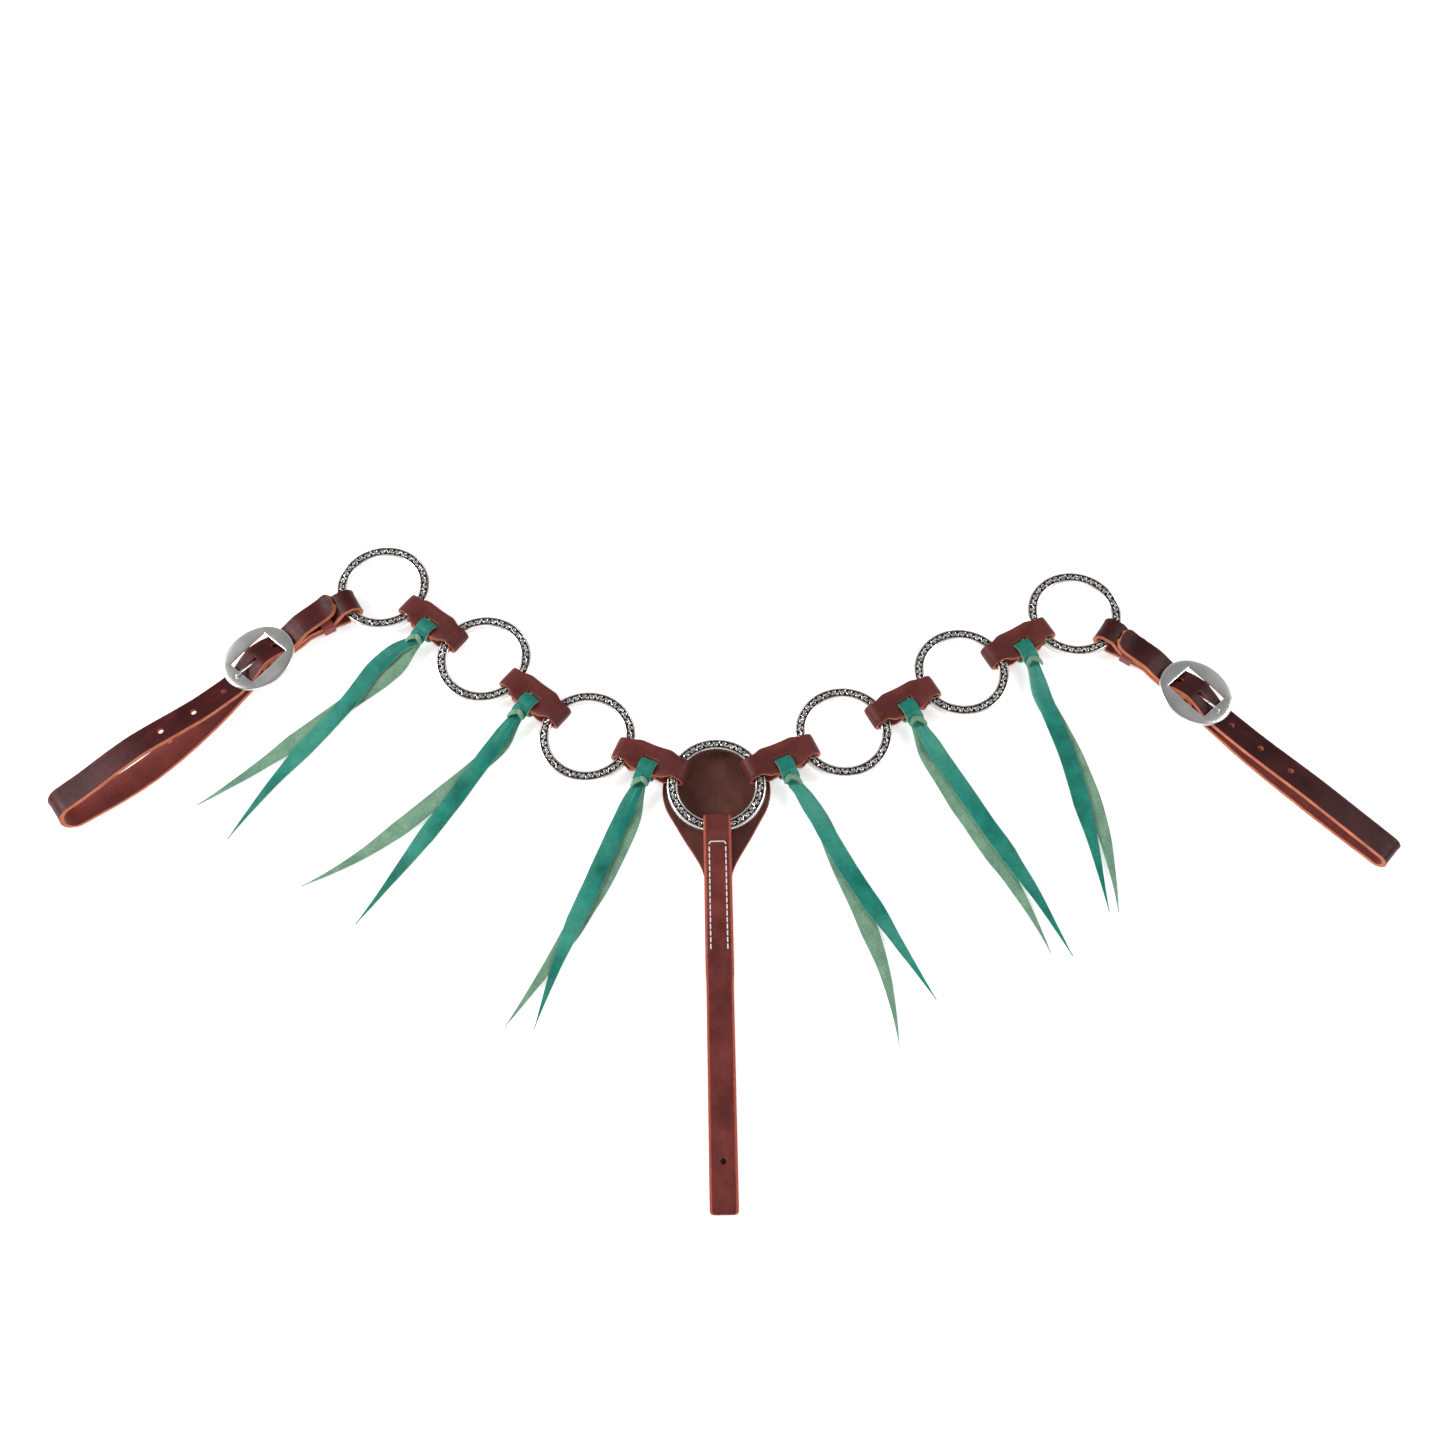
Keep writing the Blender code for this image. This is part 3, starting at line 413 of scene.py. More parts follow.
def make_finishes():
    """Each finish by name: grain, flesh and cut edge for each leather, then the metals and thread."""
    edge = cut_edge("cut_edge", (0.66, 0.215, 0.095), (0.36, 0.085, 0.036))
    red_edge = cut_edge("red_edge", (0.46, 0.10, 0.06), (0.24, 0.040, 0.024))
    flesh = flesh_leather("flesh_side", (0.350, 0.045, 0.031), (0.190, 0.021, 0.015))
    pale = flesh_leather("teal_flesh", (0.260, 0.470, 0.310), (0.130, 0.300, 0.195), 0.00025)
    return {
        "link": (grain_leather("link_grain", (0.150, 0.034, 0.029), (0.085, 0.018, 0.016),
                               (0.230, 0.056, 0.042)), flesh, edge),
        "left": (grain_leather("left_strap_grain", (0.082, 0.010, 0.012), (0.042, 0.006, 0.007),
                               (0.160, 0.026, 0.022)), flesh, edge),
        "right": (grain_leather("right_strap_grain", (0.056, 0.010, 0.010), (0.026, 0.005, 0.006),
                                (0.120, 0.022, 0.020)), flesh, edge),
        "centre": (grain_leather("centre_strap_grain", (0.185, 0.038, 0.032), (0.095, 0.019, 0.017),
                                 (0.25, 0.06, 0.045), (0.50, 0.105, 0.065), 0.83), flesh, red_edge),
        "backing": (grain_leather("backing_grain", (0.135, 0.046, 0.034), (0.070, 0.026, 0.020),
                                  (0.17, 0.060, 0.042)), flesh, red_edge),
        "teal": (dyed_thong(), pale, pale),
        "silver": engraved_silver(),
        "steel": polished_steel(),
        "thread": waxed_thread(),
    }


# ---------------------------------------------------------------- mesh tools

def add_piece(name, mesh, place, body, replaced=None):
    """A finished piece, riding on its body."""
    obj = placed(name, mesh)
    obj.matrix_world = place
    if replaced:
        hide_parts(replaced)
    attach(obj, body)
    return obj


def applied(mesh, place, steps):
    """The mesh after the modifiers that steps adds to a passing object."""
    helper = placed("helper", mesh)
    helper.matrix_world = place
    steps(helper)
    bpy.context.view_layer.update()
    result = bpy.data.meshes.new_from_object(helper.evaluated_get(bpy.context.evaluated_depsgraph_get()))
    bpy.data.objects.remove(helper, do_unlink=True)
    return result


def grid_mesh(name, rows, flip=False, closed=False):
    """A sheet through rows of points, with each point's place across (-1 to 1) and along kept on it."""
    cage = bmesh.new()
    across = cage.verts.layers.float.new("across")
    along = cage.verts.layers.float.new("along")
    lines, travelled = [], 0.0
    for number, row in enumerate(rows):
        if number:
            travelled += (row[len(row) // 2] - rows[number - 1][len(row) // 2]).length
        line = []
        for column, point in enumerate(row):
            vert = cage.verts.new(point)
            vert[across] = 2 * column / (len(row) - 1) - 1
            vert[along] = travelled
            line.append(vert)
        lines.append(line)
    if closed:
        lines.append(lines[0])
    for first, second in zip(lines, lines[1:]):
        for a, b, c, d in zip(first, first[1:], second, second[1:]):
            cage.faces.new((a, c, d, b) if flip else (a, b, d, c))
    mesh = bpy.data.meshes.new(name)
    cage.to_mesh(mesh)
    cage.free()
    return mesh


def leather_mesh(name, rows, thickness, finish, flip=False, closed=False, bevel=0.0004, cutters=()):
    """A strip of leather with grain, flesh and cut-edge finishes, softened edges and its holes cut."""
    sheet = grid_mesh(name, rows, flip, closed)
    for part in finish:
        sheet.materials.append(part)

    def steps(helper):
        solid = helper.modifiers.new("leather", "SOLIDIFY")
        solid.thickness = thickness
        solid.offset = 0.0
        solid.use_even_offset = True
        solid.material_offset = 1
        solid.material_offset_rim = 2
        soft = helper.modifiers.new("soft_edges", "BEVEL")
        soft.width = bevel
        soft.segments = 2
        soft.limit_method = "ANGLE"
        soft.angle_limit = math.radians(50.0)
        for cutter in cutters:
            cut = helper.modifiers.new("cut", "BOOLEAN")
            cut.operation = "DIFFERENCE"
            cut.solver = "EXACT"
            cut.material_mode = "TRANSFER"
            cut.object = cutter

    mesh = applied(sheet, Matrix.Identity(4), steps)
    for cutter in cutters:
        bpy.data.objects.remove(cutter, do_unlink=True)
    mesh.shade_smooth()
    mesh.set_sharp_from_angle(angle=math.radians(38.0))
    return mesh


def as_cutter(cage, finish):
    """The cage as an object that cuts, and leaves its finish on the walls."""
    mesh = bpy.data.meshes.new("cutter")
    cage.to_mesh(mesh)
    cage.free()
    mesh.materials.append(finish)
    return placed("cutter", mesh)


def cutter_box(low, high, corner, finish):
    """A box with rounded upright corners, to cut a slot."""
    size = Vector(high) - Vector(low)
    middle = (Vector(high) + Vector(low)) / 2
    cage = bmesh.new()
    bmesh.ops.create_cube(cage, size=1.0, matrix=Matrix.Translation(middle) @ Matrix.Diagonal((*size, 1.0)))
    upright = [edge for edge in cage.edges if abs((edge.verts[0].co - edge.verts[1].co).z) > size.z / 2]
    bmesh.ops.bevel(cage, geom=upright, offset=corner, segments=4, affect="EDGES", profile=0.5)
    return as_cutter(cage, finish)


def cutter_rod(radius, start, end, finish):
    """A round rod between two points, to cut a hole."""
    axis = Vector(end) - Vector(start)
    turn = axis.to_track_quat("Z", "Y").to_matrix().to_4x4()
    place = Matrix.Translation((Vector(start) + Vector(end)) / 2) @ turn
    cage = bmesh.new()
    bmesh.ops.create_cone(cage, cap_ends=True, segments=24, radius1=radius, radius2=radius,
                          depth=axis.length, matrix=place)
    return as_cutter(cage, finish)


def tube(cage, points, radii, sides=10):
    """Adds a round rod through the points to the cage, with closed ends."""
    rings = []
    for number, (point, radius) in enumerate(zip(points, radii)):
        before = points[max(0, number - 1)]
        after = points[min(len(points) - 1, number + 1)]
        ahead = (after - before).normalized()
        side = rings[-1][1] if rings else ahead.orthogonal()
        side = (side - ahead * side.dot(ahead)).normalized()
        up = ahead.cross(side)
        turn = 2 * math.pi / sides
        ring = [cage.verts.new(point + (side * math.cos(turn * k) + up * math.sin(turn * k)) * radius)
                for k in range(sides)]
        rings.append((ring, side))
    for (first, _), (second, _) in zip(rings, rings[1:]):
        for k in range(sides):
            cage.faces.new((first[k], first[(k + 1) % sides], second[(k + 1) % sides], second[k]))
    cage.faces.new(list(reversed(rings[0][0])))
    cage.faces.new(rings[-1][0])


def close_band(cage, lines):
    """Faces between each closed line of vertices and the next, and between the last and the first."""
    for first, second in zip(lines, lines[1:] + lines[:1]):
        for k in range(len(first)):
            following = (k + 1) % len(first)
            cage.faces.new((first[k], first[following], second[following], second[k]))


def finished(cage, name, *finishes):
    """The cage as a smooth mesh with its finishes."""
    bmesh.ops.recalc_face_normals(cage, faces=cage.faces)
    mesh = bpy.data.meshes.new(name)
    cage.to_mesh(mesh)
    cage.free()
    for finish in finishes:
        mesh.materials.append(finish)
    mesh.shade_smooth()
    mesh.set_sharp_from_angle(angle=math.radians(42.0))
    return mesh


def arc(centre, radius, start, end, steps):
    """Points on an arc between two angles in degrees."""
    turn = (end - start) / steps
    angles = [math.radians(start + turn * step) for step in range(steps + 1)]
    return [(centre[0] + radius * math.cos(a), centre[1] + radius * math.sin(a)) for a in angles]


def smooth_path(points, steps=8):
    """A Catmull-Rom curve through the points."""
    padded = [points[0], *points, points[-1]]
    result = []
    for a, b, c, d in zip(padded, padded[1:], padded[2:], padded[3:]):
        for step in range(steps):
            t = step / steps
            result.append(tuple(
                0.5 * (2 * q + (r - p) * t + (2 * p - 5 * q + 4 * r - s) * t * t
                       + (3 * q - p - 3 * r + s) * t ** 3)
                for p, q, r, s in zip(a, b, c, d)))
    result.append(points[-1])
    return result


def ease(value):
    """A smooth rise from 0 to 1 as the value goes from 0 to 1."""
    value = min(1.0, max(0.0, value))
    return value * value * (3 - 2 * value)


def shares(columns):
    """Places across a strip, from -1 at one edge to 1 at the other."""
    return [2 * column / (columns - 1) - 1 for column in range(columns)]


def path_rows(path, half_width, columns, crown, flat=0.55):
    """Rows across a path in the X-Z plane. Beyond the flat middle, the crown lets the edges fall away."""
    rows = []
    for index, (x, z) in enumerate(path):
        ahead = Vector(path[min(len(path) - 1, index + 1)]) - Vector(path[max(0, index - 1)])
        ahead.normalize()
        inward = Vector((-ahead.y, ahead.x))
        row = []
        for share in shares(columns):
            drop = crown * (max(0.0, abs(share) - flat) / (1 - flat)) ** 2
            side = share * half_width(index, x, share)
            row.append(Vector((x + inward.x * drop, side, z + inward.y * drop)))
        rows.append(row)
    return rows


def smooth_curve(points, first_slope):
    """A function of x for the height and slope of a curve through the points, straight before the first."""
    slopes = [first_slope]
    for before, after in zip(points, points[2:]):
        slopes.append((after[1] - before[1]) / (after[0] - before[0]))
    slopes.append((points[-1][1] - points[-2][1]) / (points[-1][0] - points[-2][0]))
    pieces = list(zip(points, points[1:], slopes, slopes[1:]))

    def height_and_slope(x):
        (start, height), *_ = points
        if x <= start:
            return height + first_slope * (x - start), first_slope
        for (low, height), (high, next_height), slope, next_slope in pieces:
            if x <= high:
                break
        span = high - low
        t = min(1.0, (x - low) / span)
        rise = slope * t * (1 - t) ** 2 - next_slope * t ** 2 * (1 - t)
        value = height * (1 + 2 * t) * (1 - t) ** 2 + next_height * t ** 2 * (3 - 2 * t) + span * rise
        steep = (next_height - height) * 6 * t * (1 - t) / span
        return value, steep + slope * (1 - t) * (1 - 3 * t) + next_slope * t * (3 * t - 2)
    return height_and_slope


def above_floor(rows, half_thickness):
    """The rows with no point so low that the leather would go through the table."""
    return [[Vector((p.x, p.y, max(p.z, half_thickness + 0.00005))) for p in row] for row in rows]


def frame_from(origin, ahead, up=Vector((0.0, 0.0, 1.0))):
    """A frame at the origin with X ahead and Z as near up as it can be."""
    x = ahead.normalized()
    y = up.cross(x).normalized()
    z = x.cross(y)
    turn = Matrix((x, y, z)).transposed().to_4x4()
    return Matrix.Translation(origin) @ turn


# ---------------------------------------------------------------- rings

SCROLL_PERIODS = 17
SCROLL_STEPS = 42                # steps of the mesh in one period of the scrollwork
BAND_EDGE = 0.00250              # half the width of the engraved band


def scroll_strokes(period):
    """Strokes of one length of running scrollwork, each a list of (along, across, half width) in metres."""
    strokes = []
    stem = []
    for step in range(25):
        t = step / 24
        stem.append((t * period, 0.00105 * math.sin(2 * math.pi * t), 0.00016))
    strokes.append(stem)
    for flip, offset in ((1.0, 0.25), (-1.0, 0.75)):
        middle = (offset * period, -flip * 0.00055)
        curl = []
        for step in range(20):
            t = step / 19
            angle = math.radians(150.0 - 470.0 * t)
            radius = 0.00165 * (1 - 0.72 * t)
            curl.append((middle[0] + radius * 1.15 * math.cos(angle),
                         middle[1] + flip * radius * math.sin(angle), 0.00020 - 0.00006 * t))
        strokes.append(curl)
        strokes.append([(middle[0], middle[1], 0.00026), (middle[0] + 0.0001, middle[1], 0.00026)])
        for lean, reach in ((-0.235, 1.0), (0.215, 0.8), (-0.14, 0.7)):
            root = ((offset + lean) * period, flip * 0.00035)
            leaf = []
            for step in range(6):
                t = step / 5
                leaf.append((root[0] + (0.0011 * t * reach) * (1 if lean < 0 else -1),
                             root[1] + flip * 0.00185 * reach * t ** 0.8,
                             0.00023 * math.sin(math.pi * (0.25 + 0.7 * t))))
            strokes.append(leaf)
    return strokes


def stroke_height(along, across, strokes, period):
    """1 on a stroke's middle, falling to 0 at its foot."""
    best = -1.0
    for stroke in strokes:
        for (ax, ay, aw), (bx, by, bw) in zip(stroke, stroke[1:]):
            for shift in (-period, 0.0, period):
                px, py = along - ax - shift, across - ay
                dx, dy = bx - ax, by - ay
                length = dx * dx + dy * dy
                t = min(1.0, max(0.0, (px * dx + py * dy) / length)) if length else 0.0
                away = math.hypot(px - t * dx, py - t * dy)
                width = aw + (bw - aw) * t
                best = max(best, 1.0 - away / (2.0 * width))
    return best


def scroll_heights(columns, period):
    """The scrollwork's height, 0 to 1, in lines across the band along one period."""
    strokes = scroll_strokes(period)
    heights = []
    for step in range(SCROLL_STEPS):
        along = period * step / SCROLL_STEPS
        line = []
        for share in shares(columns):
            raised = stroke_height(along, BAND_EDGE * share, strokes, period)
            line.append(ease(raised * 1.7))
        heights.append(line)
    return heights


def ring_rims():
    """The ring's plain section before and after its engraved band, as offset from the wire and height."""
    half_band, half_depth = RING_BAND / 2, RING_DEPTH / 2
    corner = 0.0011
    edge, rim, bulge = 0.00006, 0.00022, 0.00008
    before = [(-half_band, -half_depth + corner * 1.6), (-half_band - bulge, 0.0)]
    before += arc((-half_band + corner, half_depth - corner), corner, 180.0, 90.0, 4)
    before += [(-BAND_EDGE - rim, half_depth), (-BAND_EDGE - edge, half_depth - 2 * edge)]
    after = [(BAND_EDGE + edge, half_depth - 2 * edge), (BAND_EDGE + rim, half_depth)]
    after += arc((half_band - corner, half_depth - corner), corner, 90.0, 0.0, 4) + [(half_band + bulge, 0.0)]
    after += arc((half_band - corner, -half_depth + corner), corner, 0.0, -90.0, 4)
    after += [(0.0, -half_depth - bulge / 2)]
    after += arc((-half_band + corner, -half_depth + corner), corner, -90.0, -180.0, 4)
    return before, after


def ring_mesh(finish):
    """A ring turned from its section, its top cut with scrollwork between two plain rims."""
    columns = 23
    floor_level = RING_DEPTH / 2 - 0.00050
    steps = SCROLL_PERIODS * SCROLL_STEPS
    heights = scroll_heights(columns, 2 * math.pi * WIRE_RADIUS / SCROLL_PERIODS)
    before, after = ([(*spot, 0.0) for spot in rim] for rim in ring_rims())
    cage = bmesh.new()
    recess = cage.verts.layers.float.new("recess")
    lines = []
    for step in range(steps):
        angle = 2 * math.pi * step / steps
        ahead = Vector((math.cos(angle), math.sin(angle), 0.0))
        band = []
        for share, height in zip(shares(columns), heights[step % SCROLL_STEPS]):
            dome = 0.00012 * (1 - share ** 2)
            band.append((BAND_EDGE * share, floor_level + 0.00040 * height + dome, 1.0 - height))
        line = []
        for offset, level, depth in before + band + after:
            vert = cage.verts.new(ahead * (WIRE_RADIUS + offset) + Vector((0, 0, level)))
            vert[recess] = depth
            line.append(vert)
        lines.append(line)
    close_band(cage, lines)
    return finished(cage, "engraved_ring", finish)


def make_rings(finish):
    """Seven rings share one mesh, each turned a little so that no two scrolls line up."""
    mesh = ring_mesh(finish)
    names = ["centre_ring"] + [f"{side}_ring_{number}" for side in ("left", "right") for number in (1, 2, 3)]
    for index, name in enumerate(names):
        place = Matrix.Translation(centre_of(name)) @ Matrix.Rotation(math.radians(37.0 * index), 4, "Z")
        add_piece(name + "_engraved", mesh, place, name, name)


# ---------------------------------------------------------------- links

def link_path():
    """The strip's middle: from its hidden end, round one ring, over the front, round the other and back."""
    half_leather = LINK_LEATHER / 2
    level = LINK_CAVITY + half_leather
    fold = LINK_SPAN / 2 + LINK_FOLD_REACH
    layer = LINK_LEATHER + GAP
    low, middle, high = (STACK_RISE + layer * place for place in (-1, 0, 1))
    lap = 0.0080
    clear = 0.0143
    hidden_end = [(0.6 * lap, low), (-lap * 0.2, low), (-lap, low), (-clear, -level), (-fold, -level)]
    under = smooth_path(hidden_end, 12)
    left_fold = arc((-fold, 0.0), level, 270.0, 90.0, 18)
    shoulder, dip = 0.0158, 0.0085
    over = smooth_path([
        (-fold, level), (-shoulder, level - 0.0006), (-dip, high + 0.0011), (0.0, high + 0.0003),
        (dip, high + 0.0011), (shoulder, level - 0.0006), (fold, level)], 14)
    right_fold = arc((fold, 0.0), level, 90.0, -90.0, 18)
    back = smooth_path([(fold, -level), (clear, -level), (lap, middle), (0.0, middle), (-lap, middle)], 12)
    return under[:-1] + left_fold + over[1:-1] + right_fold + back[1:]


def link_rows(below):
    """Rows across the folded strip: a plain taper on one side, and a notch at each ring on the other."""

    def half_width(_, along, share):
        reach = abs(along)
        half = LINK_MIDDLE_HALF - (LINK_MIDDLE_HALF - LINK_FOLD_HALF) * ease((reach - 0.0105) / 0.0100)
        if share * below > 0:
            half -= (LINK_FOLD_HALF - LINK_NECK_HALF) * math.exp(-((reach - 0.0172) / 0.0028) ** 2)
        return half
    return path_rows(link_path(), half_width, 11, -0.0003, 0.6)


def link_frame(inner, outer):
    """The link's frame: X from one ring's wire to the next, its origin half way between them."""
    start, end = centre_of(inner), centre_of(outer)
    out = (end - start).to_2d().normalized().to_3d()
    start, end = start + out * WIRE_RADIUS, end - out * WIRE_RADIUS
    return frame_from((start + end) / 2, end - start)


def make_link(name, place, below, finish):
    """One folded strip, with the slot that its fringe is laced through."""
    near = below * (LINK_MIDDLE_HALF - 2 * BAND_HALF)
    far = below * (LINK_MIDDLE_HALF - BAND_HALF - LOOP_INNER - THONG - GAP - 0.0006)
    slot = cutter_box((-SLOT_LENGTH / 2, min(near, far), -0.006), (SLOT_LENGTH / 2, max(near, far), 0.008),
                      0.0011, finish[2])
    mesh = leather_mesh(name, link_rows(below), LINK_LEATHER, finish, True, False, 0.00045, (slot,))
    add_piece(name + "_folded", mesh, place, name, name)


# ---------------------------------------------------------------- fringe

def heading_at(headings, share):
    """The tail's heading at a share of its length."""
    for low, high, start, end in zip(TAIL_NODES, TAIL_NODES[1:], headings, headings[1:]):
        if share <= high:
            break
    return math.radians(start + (end - start) * (share - low) / (high - low))


def tail_rows(start, headings, length, height, lift, seed, widest):
    """Rows across one tail: gathered at the knot, even for over half its length, then drawn to a point."""
    steps = 64
    rows = []
    point = start.copy()
    for step in range(steps + 1):
        t = step / steps
        if step:
            angle = heading_at(headings, t - 0.5 / steps)
            point += Vector((math.cos(angle), math.sin(angle), 0.0)) * (length / steps)
        angle = heading_at(headings, t)
        across = Vector((-math.sin(angle), math.cos(angle), 0.0))
        gathered = 0.66 + 0.34 * ease(t / 0.12)
        taper = 1.0 if t < widest else max(0.03, ((1 - t) / (1 - widest)) ** 1.12)
        wander = noise.noise(Vector((7.0 * t, seed, 0.0)))
        half = 0.0062 * gathered * taper * (1 + 0.05 * noise.noise(Vector((9.0 * t, seed + 4.0, 1.0))))
        arch = lift * (1 - ease(t / 0.45)) + 0.00022 * taper
        pucker = 0.00055 * (1 - ease(t / 0.16))
        row = []
        for share in shares(9):
            ripple = 0.00018 * noise.noise(Vector((30.0 * t, 2.5 * share, seed))) * taper
            fold = pucker * math.cos(2.5 * math.pi * share + seed)
            rise = arch * (1 - share * share) + ripple + fold + 0.0002
            place = point + across * (half * share + 0.0006 * wander * taper)
            row.append(Vector((place.x, place.y, height(t) + rise)))
        rows.append(row)
    return rows


def settle(top, rest, t_down, late=None):
    """A height that falls from top to rest by t_down, and to late[0] by the tip."""
    def height(t):
        value = top + (rest - top) * ease(t / t_down)
        if late and t > late[1]:
            value += (late[0] - rest) * ease((t - late[1]) / (1 - late[1]))
        return value
    return height


def loop_rows():
    """The thong's turn round the link's lower band: up over the front, through the slot and behind."""
    radius = LOOP_INNER + THONG / 2
    rows = []
    for y, z in arc((0.0, 0.0), radius, -8.0, 352.0, 44)[:-1]:
        pinch = 1.0 - 0.10 * max(0.0, math.cos(math.atan2(z, y))) ** 4
        half = pinch * LOOP_WIDTH / 2
        rows.append([Vector((share * half, y, z)) for share in shares(6)])
    return rows


def apron_rows(radius):
    """The front end of the thong below the loop: it widens and bows where the other end comes through it."""
    rows = []
    steps = 16
    for step in range(steps + 1):
        t = step / steps
        y = radius * 0.55 + (0.0150 - radius * 0.55) * t
        z = 0.0052 - 0.0040 * ease(t * 1.1)
        half = 0.0052 + 0.0011 * math.sin(math.pi * min(1.0, t * 1.1)) - 0.0014 * ease((t - 0.6) / 0.4)
        row = []
        for share in shares(9):
            bow = 0.0009 * math.sin(math.pi * t) * (1 - abs(share)) ** 0.7
            row.append(Vector((share * half, y, z + bow)))
        rows.append(row)
    return rows


def collar_rows(side):
    """One pale band of the slit knot: out of the slit, one straight to the side, the other down across."""
    if side < 0:
        route = [(0.0006, 0.0098, 0.0056), (-0.0018, 0.0104, 0.0068), (-0.0044, 0.0114, 0.0060),
                 (-0.0060, 0.0126, 0.0030)]
    else:
        route = [(-0.0008, 0.0100, 0.0056), (0.0012, 0.0122, 0.0068), (0.0034, 0.0148, 0.0056),
                 (0.0048, 0.0170, 0.0022)]
    path = smooth_path(route, 5)
    rows = []
    for index, point in enumerate(path):
        here = Vector(point)
        ahead = (Vector(path[min(len(path) - 1, index + 1)]) - Vector(path[max(0, index - 1)])).normalized()
        up = Vector((0.35 * side, 0.15, 1.0)).normalized()
        across = ahead.cross(up).normalized()
        t = index / (len(path) - 1)
        half = 0.0008 + 0.0010 * math.sin(math.pi * min(1.0, 0.25 + 0.75 * t))
        rows.append([here + across * (half * share) + up * (0.0003 * (1 - share * share))
                     for share in (-1, -0.5, 0, 0.5, 1)])
    return rows


def make_tassel(side, number, link_place, below, finish):
    """Loop, slit knot and two tails, all turning with the fringe's body."""
    name = f"{side}_fringe_{number}"
    band = below * (LINK_MIDDLE_HALF - BAND_HALF)
    flip = below < 0
    turn = Matrix.Diagonal((1.0, below, 1.0, 1.0))
    place = link_place @ Matrix.Translation((0.0, band, STACK_RISE))

    def own(rows):
        return [[turn @ point for point in row] for row in rows]

    loop = leather_mesh(name + "_loop", own(loop_rows()), THONG, finish, not flip, True, 0.0003)
    add_piece(name + "_loop", loop, place, name, name)
    # The slit's walls take the dark teal grain finish instead of the pale flesh of a cut: painted shade
    # inside the slit.
    slit = cutter_box((-0.0008, 0.0066, -0.004), (0.0008, 0.0108, 0.012), 0.00075, finish[0])
    slit.data.transform(turn)
    if flip:
        slit.data.flip_normals()
    apron = leather_mesh(name + "_apron", own(apron_rows(LOOP_INNER + THONG)), 0.0014, finish, flip, False,
                         0.0003, (slit,))
    add_piece(name + "_apron", apron, place, name)
    pale = (finish[1],) * 3
    for label, hand in (("collar_a", -1), ("collar_b", 1)):
        collar = leather_mesh(f"{name}_{label}", own(collar_rows(hand)), 0.0012, pale, False, False, 0.00025)
        add_piece(f"{name}_{label}", collar, place, name)
    start = place @ Vector((0.0, below * KNOT_START, 0.0))
    floor = GAP + THONG / 2
    knot = start.z
    grain, flesh = TAILS[side][number - 1]
    seed = 3.1 * number + (20.0 if side == "left" else 0.0)
    plans = (
        ("grain_tail", grain, settle(knot + 0.0004, floor + THONG + GAP, 0.16, (floor, TAIL_DROP)),
         0.0012, 0.58, finish),
        ("flesh_tail", flesh, settle(knot - 0.0018, floor, 0.14), 0.0006, 0.60,
         (finish[1], finish[0], finish[2])),
    )
    for label, (*headings, length), height, lift, widest, sides in plans:
        rows = above_floor(tail_rows(start, headings, length, height, lift, seed, widest), THONG / 2)
        seed += 11.0
        mesh = leather_mesh(f"{name}_{label}", rows, THONG * 0.92, sides, True, False, 0.00035)
        mesh.transform(place.inverted())
        add_piece(f"{name}_{label}", mesh, place, name)


# ---------------------------------------------------------------- tug straps

def tug_frame(ring_centre, lie):
    """The straight strap's frame: X along its heading, zero below the wire where the strap goes round it."""
    heading = math.radians(lie["heading"])
    ahead = Vector((math.cos(heading), math.sin(heading), 0.0))
    foot = ring_centre + ahead * (WIRE_RADIUS * math.cos(math.radians(lie["slip"])))
    return frame_from(Vector((foot.x, foot.y, 0.0)), ahead)


def tug_bend(lie):
    """Two functions: one puts a straight strap's point in its place, one gives a frame on the bent strap."""
    slope = math.tan(math.radians(lie["slip"]))
    at_wire = WIRE_RADIUS * math.sin(math.radians(lie["slip"]))
    offset_at = smooth_curve(((TUG_STRAIGHT, at_wire + slope * TUG_STRAIGHT), *lie["bend"]), slope)
    spread_at = smooth_curve(lie["spread"], 0.0)
    tip, join = 0.0060, 0.0600
    tip_side = offset_at(tip)[0] + lie["drift"]
    join_side = offset_at(join)[0]

    def bent(x, y, z, loose=False):
        offset, slope = offset_at(x)
        across = Vector((-slope, 1.0, 0.0)).normalized()
        spread = spread_at(x)[0]
        level = z / lie["loop_height"]
        side = y + spread * (0.5 - level)
        if loose and x < join:
            side += tip_side + (join_side - tip_side) * (x - tip) / (join - tip) - offset
        tilt = 20.0 * spread * max(0.0, 1 - level)
        return Vector((x, offset, z + tilt * (STRAP_HALF - y))) + across * side

    def frame_at(x):
        offset, slope = offset_at(x)
        return frame_from(Vector((x, offset, 0.0)), Vector((1.0, slope, 0.0)))
    return bent, frame_at


def billet_height(path, along):
    """The height of the strap's upper layer, which is the last part of the path."""
    for (x, z), (far_x, far_z) in zip(path[::-1], path[-2::-1]):
        if x <= along <= far_x:
            return z + (far_z - z) * (along - x) / (far_x - x)
    return None


